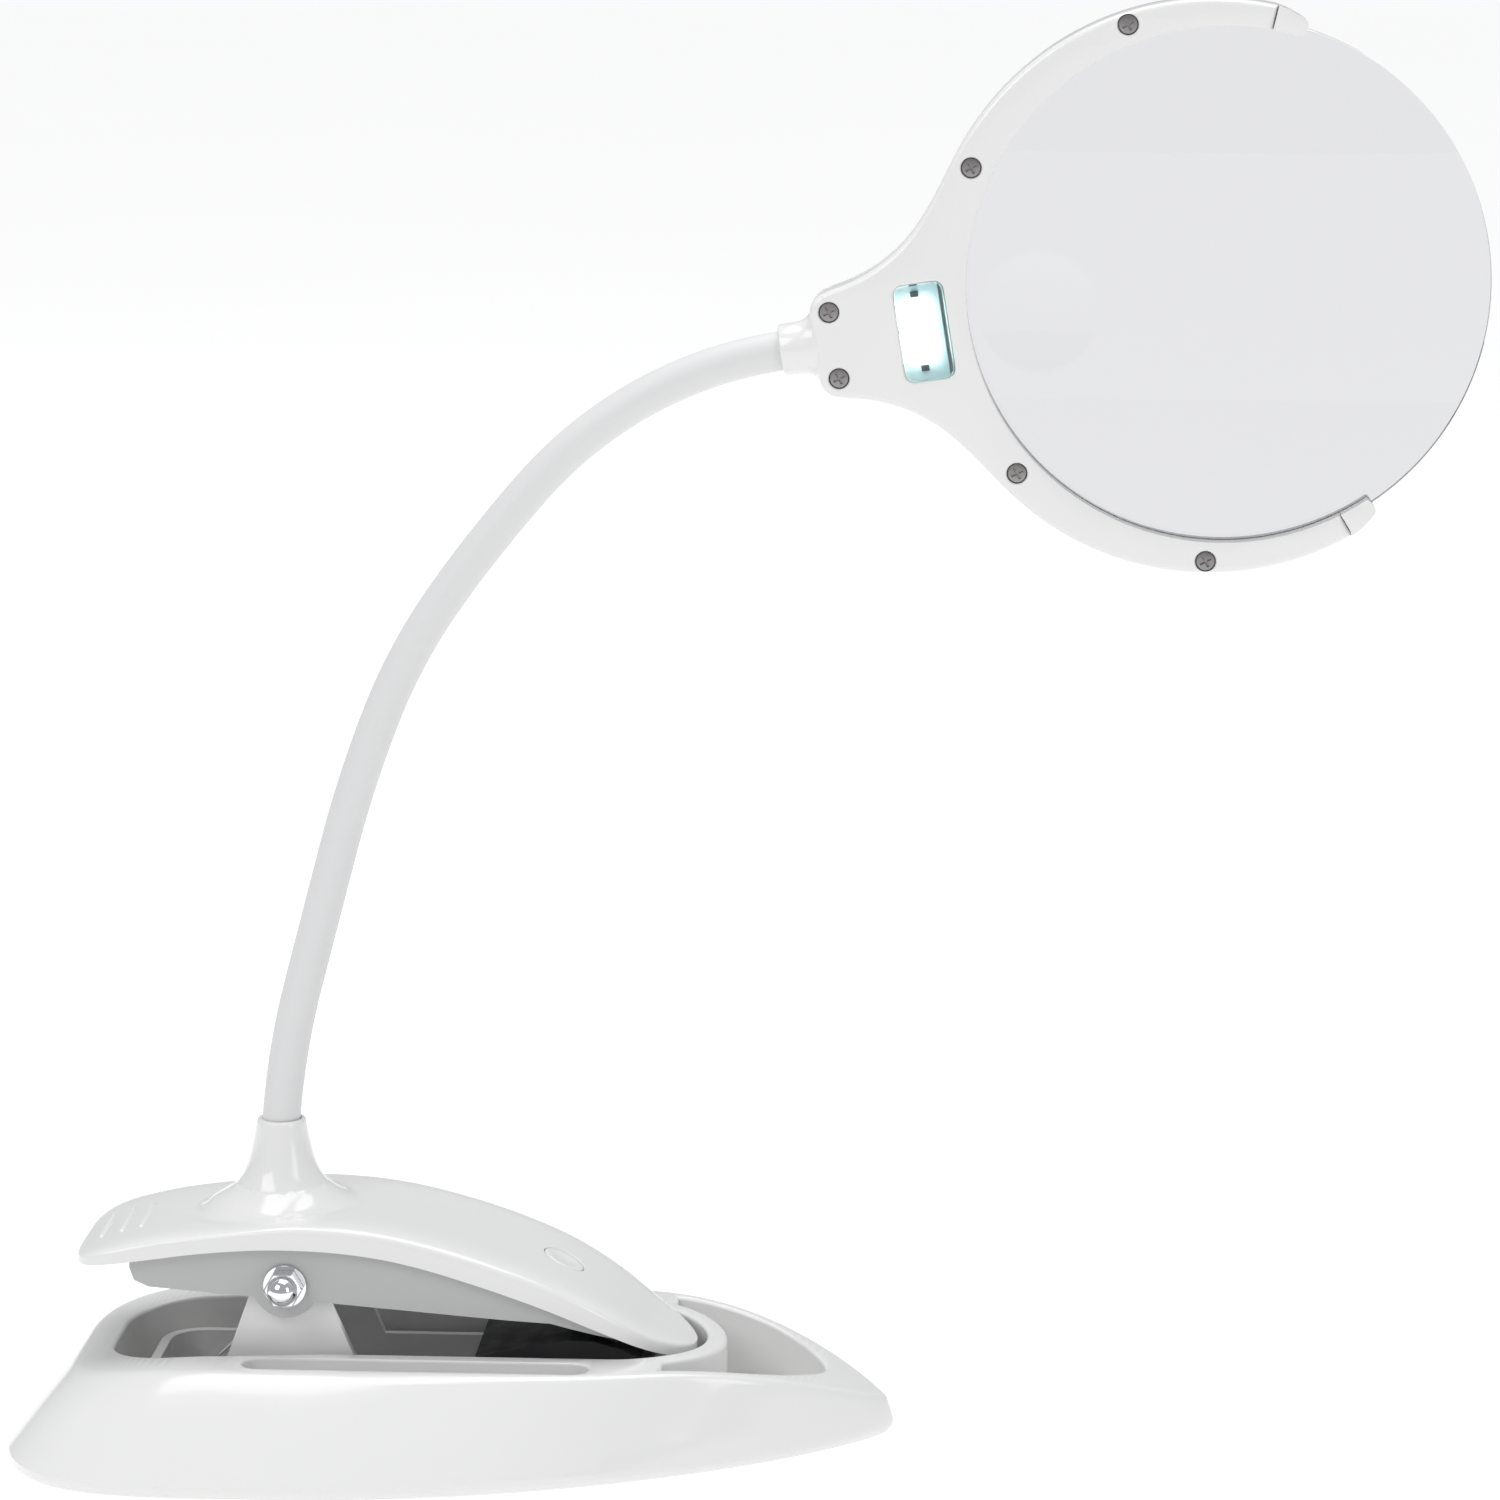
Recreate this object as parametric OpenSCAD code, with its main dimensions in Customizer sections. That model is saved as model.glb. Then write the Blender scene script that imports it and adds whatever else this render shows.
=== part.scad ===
// Clip-and-base magnifying lamp: a weighted tray base, a spring clip that lifts out
// of it, a gooseneck and a rimless lens in a C-shaped lit frame.
// +X runs from the clip to the nose, -Y is the near side, +Z is up; z = 0 is the table.

/* [Base] */
// Length of the base on the table
base_len = 184.5; // [172:0.5:225]
// Widest width of the base on the table
base_w = 108; // [98:1:132]
// Height of the top of the base
base_h = 21.3; // [19:0.1:26]
// Width across the flat top of the base
rim_w = 66; // [60:1:72]
// Wall thickness of the base shell
base_wall = 2.2; // [1.6:0.1:3]
// Thickness of the steel ballast frame
ballast_t = 3.2; // [2:0.1:3.6]
// Floor height of the pocket that holds the clip
pocket_floor = 4.4; // [4.2:0.1:6]
// Width of a pen tray
tray_w = 7.4; // [6:0.1:8]
// Floor height of the pen trays
tray_floor = 9; // [7:0.5:14]

/* [Clip] */
// Width of the upper jaw
jaw_w = 44; // [40:1:48]
// Wall thickness of the upper jaw
jaw_wall = 1.8; // [1.4:0.1:2.2]
// Width of the lower jaw
lower_w = 34.8; // [31:0.2:36]
// Height of the clip pivot above the table
pivot_z = 36; // [34:0.5:38]
// Diameter of the pivot bolt
bolt_d = 4; // [3:0.5:5]
// Running clearance round the pivot bolt
run_gap = 0.05; // [0.02:0.01:0.1]
// Wire diameter of the torsion spring
wire_d = 1.4; // [1:0.1:1.8]
// Diameter of the power button
button_d = 9; // [7:0.5:10]
// Travel of the power button
button_travel = 0.8; // [0.4:0.1:1]

/* [Neck] */
// Diameter of the gooseneck sleeve
neck_d = 8; // [7:0.1:9]
// Diameter of the steel core in the sleeve
core_d = 4.4; // [3.6:0.1:5]
// Length of one gooseneck link
link_len = 29.6; // [24:0.2:36]
// Gap in the ball joints between links
ball_gap = 0.3; // [0.2:0.05:0.4]

/* [Head] */
// Diameter of the lens
lens_d = 107.4; // [90:0.2:125]
// Thickness of the lens at its centre
lens_t = 6; // [4:0.5:8]
// Thickness of the lens at its edge
lens_edge = 2.4; // [1.6:0.1:2.6]
// Diameter of the strong spot in the lens
spot_d = 24.4; // [18:0.2:30]
// Thickness of the head
head_t = 11; // [10.4:0.2:14]
// Wall thickness of the head shells
head_wall = 1.6; // [1.2:0.1:2]
// Width of the light window
window_w = 10.2; // [8:0.1:12]
// Height of the light window
window_h = 19.9; // [14:0.1:22]

/* [Hidden] */
$fn = 64;

white = [0.93, 0.93, 0.92];
neck_white = [0.88, 0.88, 0.885];
rubber_black = [0.05, 0.05, 0.055];
steel = [0.75, 0.76, 0.78];

// ---- shared helpers ----
function unit(v) = v / norm(v);
function flip(a) = [for (i = [len(a) - 1:-1:0]) a[i]];
function super_w(t, p, q) = pow(max(0, 1 - pow(min(1, t), p)), q);

// Tube swept along a path, with flat ends
function path_dir(p, i) = unit(p[min(i + 1, len(p) - 1)] - p[max(i - 1, 0)]);
function square_off(v, t) = unit(v - (v * t) * t);
function sweep_frames(p, start) =
    [for (i = 0, n = square_off(start, path_dir(p, 0)); i < len(p); i = i + 1,
        n = i < len(p) ? square_off(n, path_dir(p, i)) : n) n];
module sweep_tube(p, d, start, sides = 8) {
    side = sweep_frames(p, start);
    pts = [for (i = [0:len(p) - 1]) for (j = [0:sides - 1])
        let (t = path_dir(p, i), n = side[i], b = cross(t, n), a = 360 * j / sides)
        p[i] + d / 2 * (cos(a) * n + sin(a) * b)];
    walls = [for (i = [0:len(p) - 2]) for (j = [0:sides - 1])
        let (a = i * sides + j, b = i * sides + (j + 1) % sides)
        each [[a, a + sides, b + sides], [a, b + sides, b]]];
    first = [for (j = [0:sides - 1]) j];
    last = [for (j = [sides - 1:-1:0]) (len(p) - 1) * sides + j];
    polyhedron(points = pts, faces = concat([first], walls, [last]), convexity = 4);
}

// ---- base: outline stations run from the rear (-1) over the widest place (0) to the nose (1)
base_rear = -base_len / 2;
base_nose = base_len / 2;
base_mid = -33.8;
rim_rear = base_rear + 13;
rim_nose = base_nose - 1.5;
rim_bend = 10;
edge_r = 3.5;
stations = concat(
    [for (j = [0:7]) -pow(cos(90 * j / 8), 0.5)],
    [for (j = [0:14]) 1 - pow(1 - j / 14, 1.7)]);
last_st = len(stations) - 1;

function along(s, rear, nose) =
    s < 0 ? base_mid + s * (base_mid - rear) : base_mid + s * (nose - base_mid);
function foot_point(s, inset) =
    [along(s, base_rear + inset, base_nose - inset),
     (base_w / 2 - inset) * (s < 0 ? super_w(-s, 4, 0.25) : super_w(s, 1.85, 0.78))];
function rim_half(x, inset) =
    let (h = rim_w / 2 - inset, rear = rim_rear + inset, nose = rim_nose - inset)
    x < base_mid ? h * super_w((base_mid - x) / (base_mid - rear), 4, 0.25)
    : x < rim_bend ? h : h * super_w((x - rim_bend) / (nose - rim_bend), 2.4, 0.85);
function rim_point(s, inset) = let (x = along(s, rim_rear + inset, rim_nose - inset)) [x, rim_half(x, inset)];
// The top falls away towards the nose and the rear
nose_fall = 13.1354;
rear_fall = 3.8711;
function top_z(x) = base_h - nose_fall * pow(max(0, x - 40) / (rim_nose - 40), 2)
    - rear_fall * pow(max(0, -45 - x) / (-45 - rim_rear), 2);

// One level: share of the way to the rim, inset, lowest height, share of the height, drop
function level_point(s, lv) = let (
    a = foot_point(s, lv[1]), b = rim_point(s, lv[1]),
    x = a[0] + (b[0] - a[0]) * lv[0], w = a[1] + (b[1] - a[1]) * lv[0])
    [x, w, lv[2] + lv[3] * (top_z(b[0]) - lv[4] - lv[2])];
function level_ring(lv) = concat(
    [for (i = [0:last_st]) let (p = level_point(stations[i], lv)) [p[0], -p[1], p[2]]],
    [for (i = [last_st - 1:-1:1]) let (p = level_point(stations[i], lv)) p]);

module level_solid(levels) {
    m = 2 * last_st;
    top = (len(levels) - 1) * m;
    pts = [for (lv = levels) each level_ring(lv)];
    walls = [for (k = [0:len(levels) - 2]) for (j = [0:m - 1])
        let (a = k * m + j, b = k * m + (j + 1) % m)
        each [[a, a + m, b + m], [a, b + m, b]]];
    floor_faces = concat([[0, 1, m - 1]],
        [for (i = [1:last_st - 2]) [i, i + 1, m - i - 1, m - i]],
        [[last_st - 1, last_st, last_st + 1]]);
    roof = [for (f = floor_faces) [for (v = flip(f)) v + top]];
    polyhedron(points = pts, faces = concat(floor_faces, walls, roof), convexity = 6);
}

module base_outside() {
    level_solid([[0, edge_r, 0, 0, 0], [0, 1, 0.9, 0, 0], [0, 0, 3.2, 0, 0],
        [0.5, 0, 3.2, 0.53, 0], [0.93, 0, 3.2, 0.95, 0], [1, 1.4, 3.2, 1, 0]]);
}

plate_inset = 6;
plate_top = 2.6;
module base_inside() {
    level_solid([[0, plate_inset, -1, 0, 0], [0, plate_inset, plate_top, 0, 0],
        [0.06, base_wall + 1, 4.6, 0, 0], [0.5, base_wall + 0.4, 4.6, 0.5, base_wall],
        [1, base_wall + 0.6, 4.6, 1, base_wall]]);
}

// Pocket for the clip: wide round the ears, narrow round the jaw tip
pocket_r = max(lower_w / 2 + 1.9, jaw_w / 2 - 2.7);
pocket_wide = pocket_r + 2.6;
pocket_tip_x = 33.5;
pocket_rear_x = -57;
rear_r = 15;
module pocket_outline(grow = 0) {
    hull() {
        for (side = [-1, 1]) translate([pocket_rear_x, side * (pocket_wide - rear_r)])
            circle(rear_r + grow, $fn = 32);
        translate([-50, -pocket_wide - grow]) square([4, 2 * (pocket_wide + grow)]);
        translate([-26, 0]) circle(pocket_r + grow, $fn = 32);
    }
    hull() {
        translate([-26, 0]) circle(pocket_r + grow, $fn = 48);
        translate([pocket_tip_x, 0]) circle(pocket_r + grow, $fn = 48);
    }
}

tray_front = 30;
tray_back = -42;
tray_y = rim_w / 2 - 2.4 - tray_w / 2;
module tray_outline(grow = 0) {
    hull() for (x = [tray_back + tray_w / 2, tray_front - tray_w / 2])
        translate([x, -tray_y]) circle(tray_w / 2 + grow, $fn = 32);
}

// Crescent nose tray round the outside of the pocket wall
tip_wall = 4.3;
nose_tray_x = 45;
nose_floor = 4.4;
well_t = 1.6;
nose_end = rim_nose - 13;
function nose_edge(grow) = [for (j = [0:12])
    let (x = nose_tray_x - grow + (nose_end + grow - nose_tray_x + grow) * (1 - pow(1 - j / 12, 1.6)),
        w = rim_half(min(x, rim_nose - 0.5), 3.2 - grow))
    [x, w * super_w(max(0, (x - nose_tray_x) / (nose_end + grow - nose_tray_x)), 5, 0.5)]];
module nose_outline(grow = 0) {
    edge = nose_edge(grow);
    difference() {
        polygon(concat([for (p = edge) [p[0], -p[1]]], [for (p = flip(edge)) if (p[1] > 0.01) p]));
        translate([pocket_tip_x, 0]) circle(pocket_r + tip_wall - grow);
    }
}

plate_screws = [for (side = [-1, 1])
    each [[-62, side * (base_w / 2 - 17)], [37.5, side * (base_w / 2 - 27.5)]]];
boss_r = 3.5;
module base_shell() {
    color(white) difference() {
        base_outside();
        difference() {
            base_inside();
            translate([0, 0, pocket_floor - well_t]) linear_extrude(base_h) pocket_outline(base_wall);
            for (side = [0, 1]) mirror([0, side, 0]) translate([0, 0, tray_floor - base_wall])
                linear_extrude(base_h) tray_outline(base_wall - 0.4);
            translate([0, 0, nose_floor - well_t]) linear_extrude(base_h) nose_outline(base_wall - 0.4);
            for (p = plate_screws) translate([p[0], p[1], plate_top])
                cylinder(r = boss_r, h = base_h, $fn = 32);
        }
        translate([0, 0, pocket_floor]) linear_extrude(base_h) pocket_outline();
        for (side = [0, 1]) mirror([0, side, 0]) translate([0, 0, tray_floor])
            linear_extrude(base_h) tray_outline();
        translate([0, 0, nose_floor]) linear_extrude(base_h) nose_outline();
        for (p = plate_screws) translate([p[0], p[1], -1]) cylinder(d = 2.4, h = 11, $fn = 32);
    }
}

sole_t = 0.8;
plate_t = plate_top - sole_t;
plate_gap = 0.3;
module plate_outline(inset) {
    ring = level_ring([0, inset, 0, 0, 0]);
    polygon([for (p = ring) [p[0], p[1]]]);
}
module base_plate() {
    color([0.86, 0.86, 0.85]) translate([0, 0, sole_t]) difference() {
        linear_extrude(plate_t) plate_outline(plate_inset + plate_gap);
        for (p = plate_screws) translate([p[0], p[1], -1]) cylinder(d = 3.4, h = 5, $fn = 32);
    }
}
module sole_pad() {
    color(rubber_black) difference() {
        linear_extrude(sole_t) plate_outline(plate_inset + 3);
        for (p = plate_screws) translate([p[0], p[1], -1]) cylinder(d = 7.4, h = 5, $fn = 32);
    }
}
// Ballast frame round the wells, on the plate
ballast_gap = 0.4;
module base_weight() {
    color(steel) translate([0, 0, plate_top + 0.02]) linear_extrude(ballast_t) difference() {
        plate_outline(plate_inset + 3);
        pocket_outline(base_wall + ballast_gap);
        nose_outline(base_wall + ballast_gap);
        for (p = plate_screws) translate(p) circle(boss_r + ballast_gap, $fn = 32);
    }
}
module base_screws() {
    color([0.3, 0.3, 0.32]) for (p = plate_screws) translate([p[0], p[1], 0.1]) {
        cylinder(d = 6, h = sole_t - 0.1, $fn = 32);
        cylinder(d = 2.3, h = 9, $fn = 32);
    }
}

// ---- clip ----
pivot_x = base_mid;
ear_t = 2;
ear_y = lower_w / 2 - ear_t;
ear_r = 6.5;
bolt_hole_d = bolt_d + 2 * run_gap;
jaw_base = pocket_floor;
jaw_floor_t = 2.4;
throat_wall_z = 15;
module along_pivot() {
    translate([pivot_x, 0, pivot_z]) rotate([90, 0, 0]) children();
}

module lower_plan(inset = 0) {
    hull() {
        translate([-46, 0]) square([20, lower_w - 2 * inset], center = true);
        for (side = [-1, 1]) translate([-56, side * (lower_w / 2 - 9)]) circle(9 - inset, $fn = 32);
        translate([pocket_tip_x, 0]) circle(lower_w / 2 - inset, $fn = 48);
    }
}
module lower_jaw() {
    color(white) difference() {
        union() {
            translate([0, 0, jaw_base]) linear_extrude(throat_wall_z - jaw_base) lower_plan();
            for (side = [-1, 1]) translate([0, side > 0 ? lower_w / 2 : -ear_y, 0]) rotate([90, 0, 0])
                linear_extrude(ear_t) hull() {
                    translate([pivot_x, pivot_z]) circle(ear_r);
                    translate([pivot_x - 17.7, jaw_base + 1]) square([37.5, 1]);
                }
        }
        difference() {
            translate([0, 0, jaw_base + jaw_floor_t]) linear_extrude(40) lower_plan(ear_t);
            translate([4, -30, 0]) cube([60, 60, throat_wall_z + 2.4]);
        }
        translate([0, 30, 0]) along_pivot() cylinder(d = bolt_hole_d, h = 60);
    }
}

// Rubber pads: the lower one is a hump, the upper one lies on the slanted cover
pad_w = 28;
pad_foot = throat_wall_z + 0.05;
pad_rise = [[5, pad_foot], [41.5, pad_foot], [41.5, 17.6], [40, 19.4], [36, 21.5], [30, 23.1], [25, 23.3],
    [17, 21.9], [5, 19.4]];
module lower_pad() {
    color(rubber_black) translate([0, pad_w / 2, 0]) rotate([90, 0, 0])
        linear_extrude(pad_w) polygon(pad_rise);
}

// Where the washers end, outside the lugs of the inner cover
cover_gap = 0.35;
cover_half = jaw_w / 2 - jaw_wall - cover_gap;
washer_t = 0.7;
stack_y = cover_half + 0.25 + washer_t;
module pivot_bolt() {
    color(steel) {
        translate([0, stack_y + 0.6, 0]) along_pivot() cylinder(d = bolt_d, h = 2 * stack_y + 2.6);
        translate([0, stack_y + 2, 0]) along_pivot() cylinder(d = 7.6, h = 2, $fn = 48);
    }
}
nut_y = -stack_y;
nut_af = 7;
module acorn_nut() {
    color([0.85, 0.86, 0.88]) translate([0, nut_y, 0]) along_pivot() difference() {
        union() {
            cylinder(d = nut_af / cos(30), h = 3.2, $fn = 6);
            translate([0, 0, 3.2]) rotate_extrude() polygon(concat([[0, 0], [3.2, 0]],
                [for (a = [15:15:90]) [3.2 * cos(a), 3.4 * sin(a)]]));
        }
        translate([0, 0, -1]) cylinder(d = bolt_hole_d, h = 4.6);
    }
}
module pivot_washers() {
    color(steel) for (y = [nut_y + washer_t, stack_y]) translate([0, y, 0]) along_pivot() difference() {
        cylinder(d = 9, h = washer_t, $fn = 48);
        translate([0, 0, -1]) cylinder(d = bolt_hole_d, h = 3);
    }
}

// Double torsion spring: its outer turns and legs stay with the lower jaw, its inner
// turns and the bridge between them stay with the upper jaw
coil_r = 5;
turn_pitch = wire_d + 0.2;
leg_angle = 44;
function turn(a, y) = [pivot_x + coil_r * cos(a), y, pivot_z + coil_r * sin(a)];
leg_out = [-cos(leg_angle), 0, -sin(leg_angle)];
leg_len = 34;
outer_y = 11.6;
inner_y = outer_y - 2 * turn_pitch - wire_d - 0.5;
spring_step = 20;
function legs_path(side) = let (a0 = -leg_angle - 2)
    concat([turn(a0, side * outer_y) + leg_len * leg_out],
        [turn(a0, side * outer_y) + 0.5 * leg_len * leg_out],
        [for (a = [0:spring_step:700]) turn(a0 + a, side * (outer_y - turn_pitch * a / 360))]);
module spring_legs() {
    color(steel) for (side = [-1, 1]) sweep_tube(legs_path(side), wire_d, [0, 1, 0]);
}
bridge_len = 21;
bridge_tilt = 6;
bridge_dir = [-cos(bridge_tilt), 0, sin(bridge_tilt)];
bridge_turn = 520;
function bridge_y(a) = inner_y - turn_pitch * (bridge_turn - a) / 360;
function bridge_half(side) = let (a0 = 90 - bridge_tilt)
    concat([for (a = [bridge_turn:-spring_step:0]) turn(a0 - a, side * bridge_y(a))],
        [turn(a0, side * bridge_y(0)) + bridge_len * bridge_dir]);
bridge_bend = [turn(90 - bridge_tilt, 0) + (bridge_len + 2.4) * bridge_dir];
module spring_bridge() {
    color(steel) sweep_tube(concat(bridge_half(-1), bridge_bend, flip(bridge_half(1))), wire_d, [0, 1, 0]);
}

// Upper jaw: height of the crest and of the hem along its length
jaw_rear = -78.8;
jaw_tip = 50.8;
jaw_taper_x = 5;
crest = [[-78.8, 40.6], [-75, 42.3], [-69.7, 44], [-61, 46.1], [-47, 48], [-33, 49.5], [-22.7, 49.3],
    [-12, 48], [-1.5, 45.6], [9, 42.4], [21.7, 37.4], [30.2, 32.9],
    [36.5, 28.8], [41.8, 25], [47, 22], [50.8, 19.8]];
hem = [[-78.8, 39.2], [-66, 41], [-51, 43.1], [-36.5, 44.1], [-22, 43.6], [-9.4, 41.7], [5.2, 37.6],
    [19.7, 32.4], [32, 26.6], [40, 22.4], [46, 19.6], [50.8, 18]];
function jaw_half(x) = jaw_w / 2 * (x < -60 ? super_w((-60 - x) / (-60 - jaw_rear), 5, 0.2)
    : x < jaw_taper_x ? 1 : super_w((x - jaw_taper_x) / (jaw_tip - jaw_taper_x), 2.6, 0.5));
jaw_arc = [for (j = [0:14]) 180 * j / 14];
function shoulder(v) = sign(v) * pow(abs(v), 0.5);
// t is the wall to leave outside the section, drop lowers its open side
function jaw_ring(x, t, drop) = let (w = max(0.6, jaw_half(x) - t), z0 = lookup(x, hem) + 0.9,
    h = max(0.4, lookup(x, crest) - t - z0))
    concat([[x, -w, z0 - 0.9 - drop]],
        [for (a = jaw_arc) [x, -w * shoulder(cos(a)), z0 + h * pow(sin(a), 0.5)]],
        [[x, w, z0 - 0.9 - drop]]);
module jaw_loft(xs, t, drop) {
    m = len(jaw_arc) + 2;
    pts = [for (x = xs) each jaw_ring(x, t, drop)];
    walls = [for (i = [0:len(xs) - 2]) for (j = [0:m - 1])
        let (a = i * m + j, b = i * m + (j + 1) % m)
        each [[a, b, b + m], [a, b + m, a + m]]];
    first = [for (j = [m - 1:-1:0]) j];
    last = [for (j = [0:m - 1]) (len(xs) - 1) * m + j];
    polyhedron(points = pts, faces = concat([first], walls, [last]), convexity = 6);
}
jaw_xs = concat([-78.7, -78.2, -77, -75, -71, -66], [for (x = [-60:7:3]) x],
    [10, 17, 23, 29, 34, 38.5, 42.5, 45.5, 47.8, 49.4, 50.3, 50.7]);
hollow_end = 36;
hollow_xs = concat([jaw_rear + jaw_wall, -75.5, -72, -66], [for (x = [-60:7:3]) x],
    [10, 17, 23, 29, hollow_end]);

// Boss that carries the gooseneck, which leans a little towards the nose
lean = 5;
boss_x = -37;
boss_top = 66.8;
boss_low = 46.4;
boss_flare = [[16, boss_low], [14.9, 48.75], [13.4, 50], [11, 51.6], [9.3, 53.3], [8, 55.4], [7, 57.8],
    [6.3, 60.4], [5.7, 63.2]];
collar_r = neck_d / 2 + 1.15;
edge_round = 0.4;
socket_depth = 9;
button_x = 22.7;
button_tilt = 27;
button_z = lookup(button_x, crest) + 0.05;
module on_boss() {
    translate([boss_x, 0, boss_top]) rotate([0, lean, 0]) children();
}
module on_button() {
    translate([button_x, 0, button_z]) rotate([0, button_tilt, 0]) children();
}
cover_screw_at = [[-58, -12], [-58, 12], [18.5, -12.5], [18.5, 12.5]];
grip_at = [-74.2, -70, -65.8];
module grip_rib(x) {
    translate([x, 0, lookup(x, crest) - 0.35]) rotate([90, 0, 0])
        cylinder(d = 1.5, h = 18, center = true, $fn = 24);
}
module upper_jaw() {
    color(white) difference() {
        union() {
            difference() {
                jaw_loft(jaw_xs, 0, 0);
                jaw_loft(hollow_xs, jaw_wall, 6);
            }
            translate([boss_x, 0, 0]) rotate_extrude() polygon(concat([[0, boss_low]], boss_flare,
                [[collar_r, boss_top - edge_round], [collar_r - edge_round, boss_top], [0, boss_top]]));
            for (p = cover_screw_at) translate([p[0], p[1], lookup(p[0], hem) - 1])
                cylinder(d = 5, h = lookup(p[0], crest) - lookup(p[0], hem) + 0.1, $fn = 32);
            for (x = grip_at) grip_rib(x);
        }
        on_boss() {
            translate([0, 0, -socket_depth]) cylinder(d = neck_d + 0.1, h = 20);
            translate([0, 0, -40]) cylinder(d = core_d + 0.2, h = 60);
        }
        on_button() translate([0, 0, -6]) cylinder(d = button_d + 0.5, h = 12);
        for (p = cover_screw_at) translate([p[0], p[1], 20])
            cylinder(d = 1.9, h = lookup(p[0], hem) + 3 - 20, $fn = 24);
    }
}

// Inner cover: a tray that closes the upper jaw from below and carries the lugs
cover_rear = -66.5;
cover_front = hollow_end - cover_gap;
cover_wall = 1.6;
lug_r = 7;
lug_in = lower_w / 2 + 0.3;
lug_out = cover_half;
cover_low = [[-66.5, 39.2], [-65.6, 36.6], [-62.6, 35.2], [-43, 33.6], [-26, 32.4], [21.3, 28.5],
    [36, 24]];
cover_high = [for (x = [36, 32, 19.7, 5.2, -9.4, -22, -36.5, -51, -66.5]) [x, lookup(x, hem) + 1.5]];
slope_deg = atan((32.4 - 28.5) / (26 + 21.3));
function cover_plan(inset) = let (xs = concat([cover_rear + inset], [for (x = [-60:10:0]) x],
        [8, 14, 20, 26, 31, cover_front - inset]))
    [for (x = xs) [x, jaw_half(x) - jaw_wall - cover_gap - inset]];
module cover_plan_outline(inset) {
    edge = cover_plan(inset);
    polygon(concat([for (p = edge) [p[0], -p[1]]], flip(edge)));
}
module cover_side(lift) {
    translate([0, 40, 0]) rotate([90, 0, 0]) linear_extrude(80)
        polygon(concat([for (p = cover_low) [p[0], p[1] + lift]],
            [for (p = cover_high) [p[0], p[1] + 3 * lift]]));
}
cell_x = -4;
cell_d = 20;
door_d = cell_d + 4;
function floor_z(x) = lookup(x, cover_low);
module on_floor(x) {
    translate([x, 0, floor_z(x)]) rotate([0, slope_deg, 0]) children();
}
module inner_cover() {
    color([0.9, 0.9, 0.89]) difference() {
        union() {
            difference() {
                intersection() {
                    cover_side(0);
                    translate([0, 0, 10]) linear_extrude(50) cover_plan_outline(0);
                }
                intersection() {
                    cover_side(cover_wall);
                    translate([0, 0, 10]) linear_extrude(50) cover_plan_outline(cover_wall);
                }
            }
            for (side = [-1, 1]) translate([0, side > 0 ? lug_out : -lug_in, 0]) along_pivot()
                cylinder(r = lug_r, h = lug_out - lug_in);
            for (p = cover_screw_at) translate([p[0], p[1], floor_z(p[0]) + 0.4])
                cylinder(d = 6, h = lookup(p[0], hem) - 1.6 - floor_z(p[0]), $fn = 32);
        }
        translate([pivot_x - 11, -lug_in, 20]) cube([22, 2 * lug_in, 30]);
        translate([0, 30, 0]) along_pivot() cylinder(d = bolt_hole_d, h = 60);
        on_floor(cell_x) translate([0, 0, -3]) cylinder(d = door_d + 0.4, h = 8);
        for (p = cover_screw_at) {
            translate([p[0], p[1], 20]) cylinder(d = 2.3, h = 40, $fn = 24);
            translate([p[0], p[1], 20]) cylinder(d = 4.4, h = floor_z(p[0]) + 1.5 - 20, $fn = 24);
        }
    }
}
module cover_screws() {
    color([0.3, 0.3, 0.32]) for (p = cover_screw_at) {
        translate([p[0], p[1], floor_z(p[0]) + 0.4]) cylinder(d = 4, h = 1, $fn = 24);
        translate([p[0], p[1], floor_z(p[0]) + 0.4])
            cylinder(d = 1.8, h = lookup(p[0], hem) + 2 - floor_z(p[0]), $fn = 24);
    }
}
module upper_pad() {
    pad_from = 21.6;
    pad_to = 35.4;
    color(rubber_black) translate([0, pad_w / 2 - 1, 0]) rotate([90, 0, 0]) linear_extrude(pad_w - 2)
        polygon([[pad_from, floor_z(pad_from) - 0.05], [pad_from + 0.6, floor_z(pad_from) - 1.1],
            [pad_to - 0.4, floor_z(pad_to) - 1.5], [pad_to, floor_z(pad_to) - 0.05]]);
}

// Cell door, cells, contacts and board inside the upper jaw
module cell_door() {
    color([0.9, 0.9, 0.89]) on_floor(cell_x) difference() {
        cylinder(d = door_d, h = cover_wall + 0.4);
        translate([0, 0, -1]) cylinder(d = 1.8, h = 6, $fn = 24);
        translate([0, 0, -1]) cylinder(d = 3.8, h = 1.8, $fn = 24);
    }
}
module door_screw() {
    color([0.3, 0.3, 0.32]) on_floor(cell_x) {
        cylinder(d = 3.6, h = 0.8, $fn = 24);
        cylinder(d = 1.7, h = 2, $fn = 24);
    }
}
cell_t = 3.2;
cell_lift = cover_wall + 0.9;
module coin_cells() {
    color(steel) on_floor(cell_x) for (k = [0, 1]) translate([0, 0, cell_lift + k * (cell_t + 0.02)]) {
        cylinder(d = cell_d, h = cell_t - 0.7);
        translate([0, 0, cell_t - 0.7]) cylinder(d = cell_d - 2.6, h = 0.7);
    }
}
module cell_contacts() {
    color([0.8, 0.7, 0.4]) on_floor(cell_x) {
        translate([-6, -2.5, cover_wall + 0.45]) cube([12, 5, 0.4]);
        translate([-6, -2.5, cell_lift + 2 * cell_t + 0.1]) cube([20, 5, 0.4]);
    }
}
stem_d = 3;
cap_t = 2;
stem_end = cap_t + 0.4;
switch_top = stem_end + button_travel + 0.05;
board_t = 0.8;
module power_button() {
    color(white) on_button() {
        translate([0, 0, -cap_t]) cylinder(d = button_d, h = cap_t);
        translate([0, 0, -stem_end]) cylinder(d = stem_d, h = stem_end - cap_t + 0.2, $fn = 32);
    }
}
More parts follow.
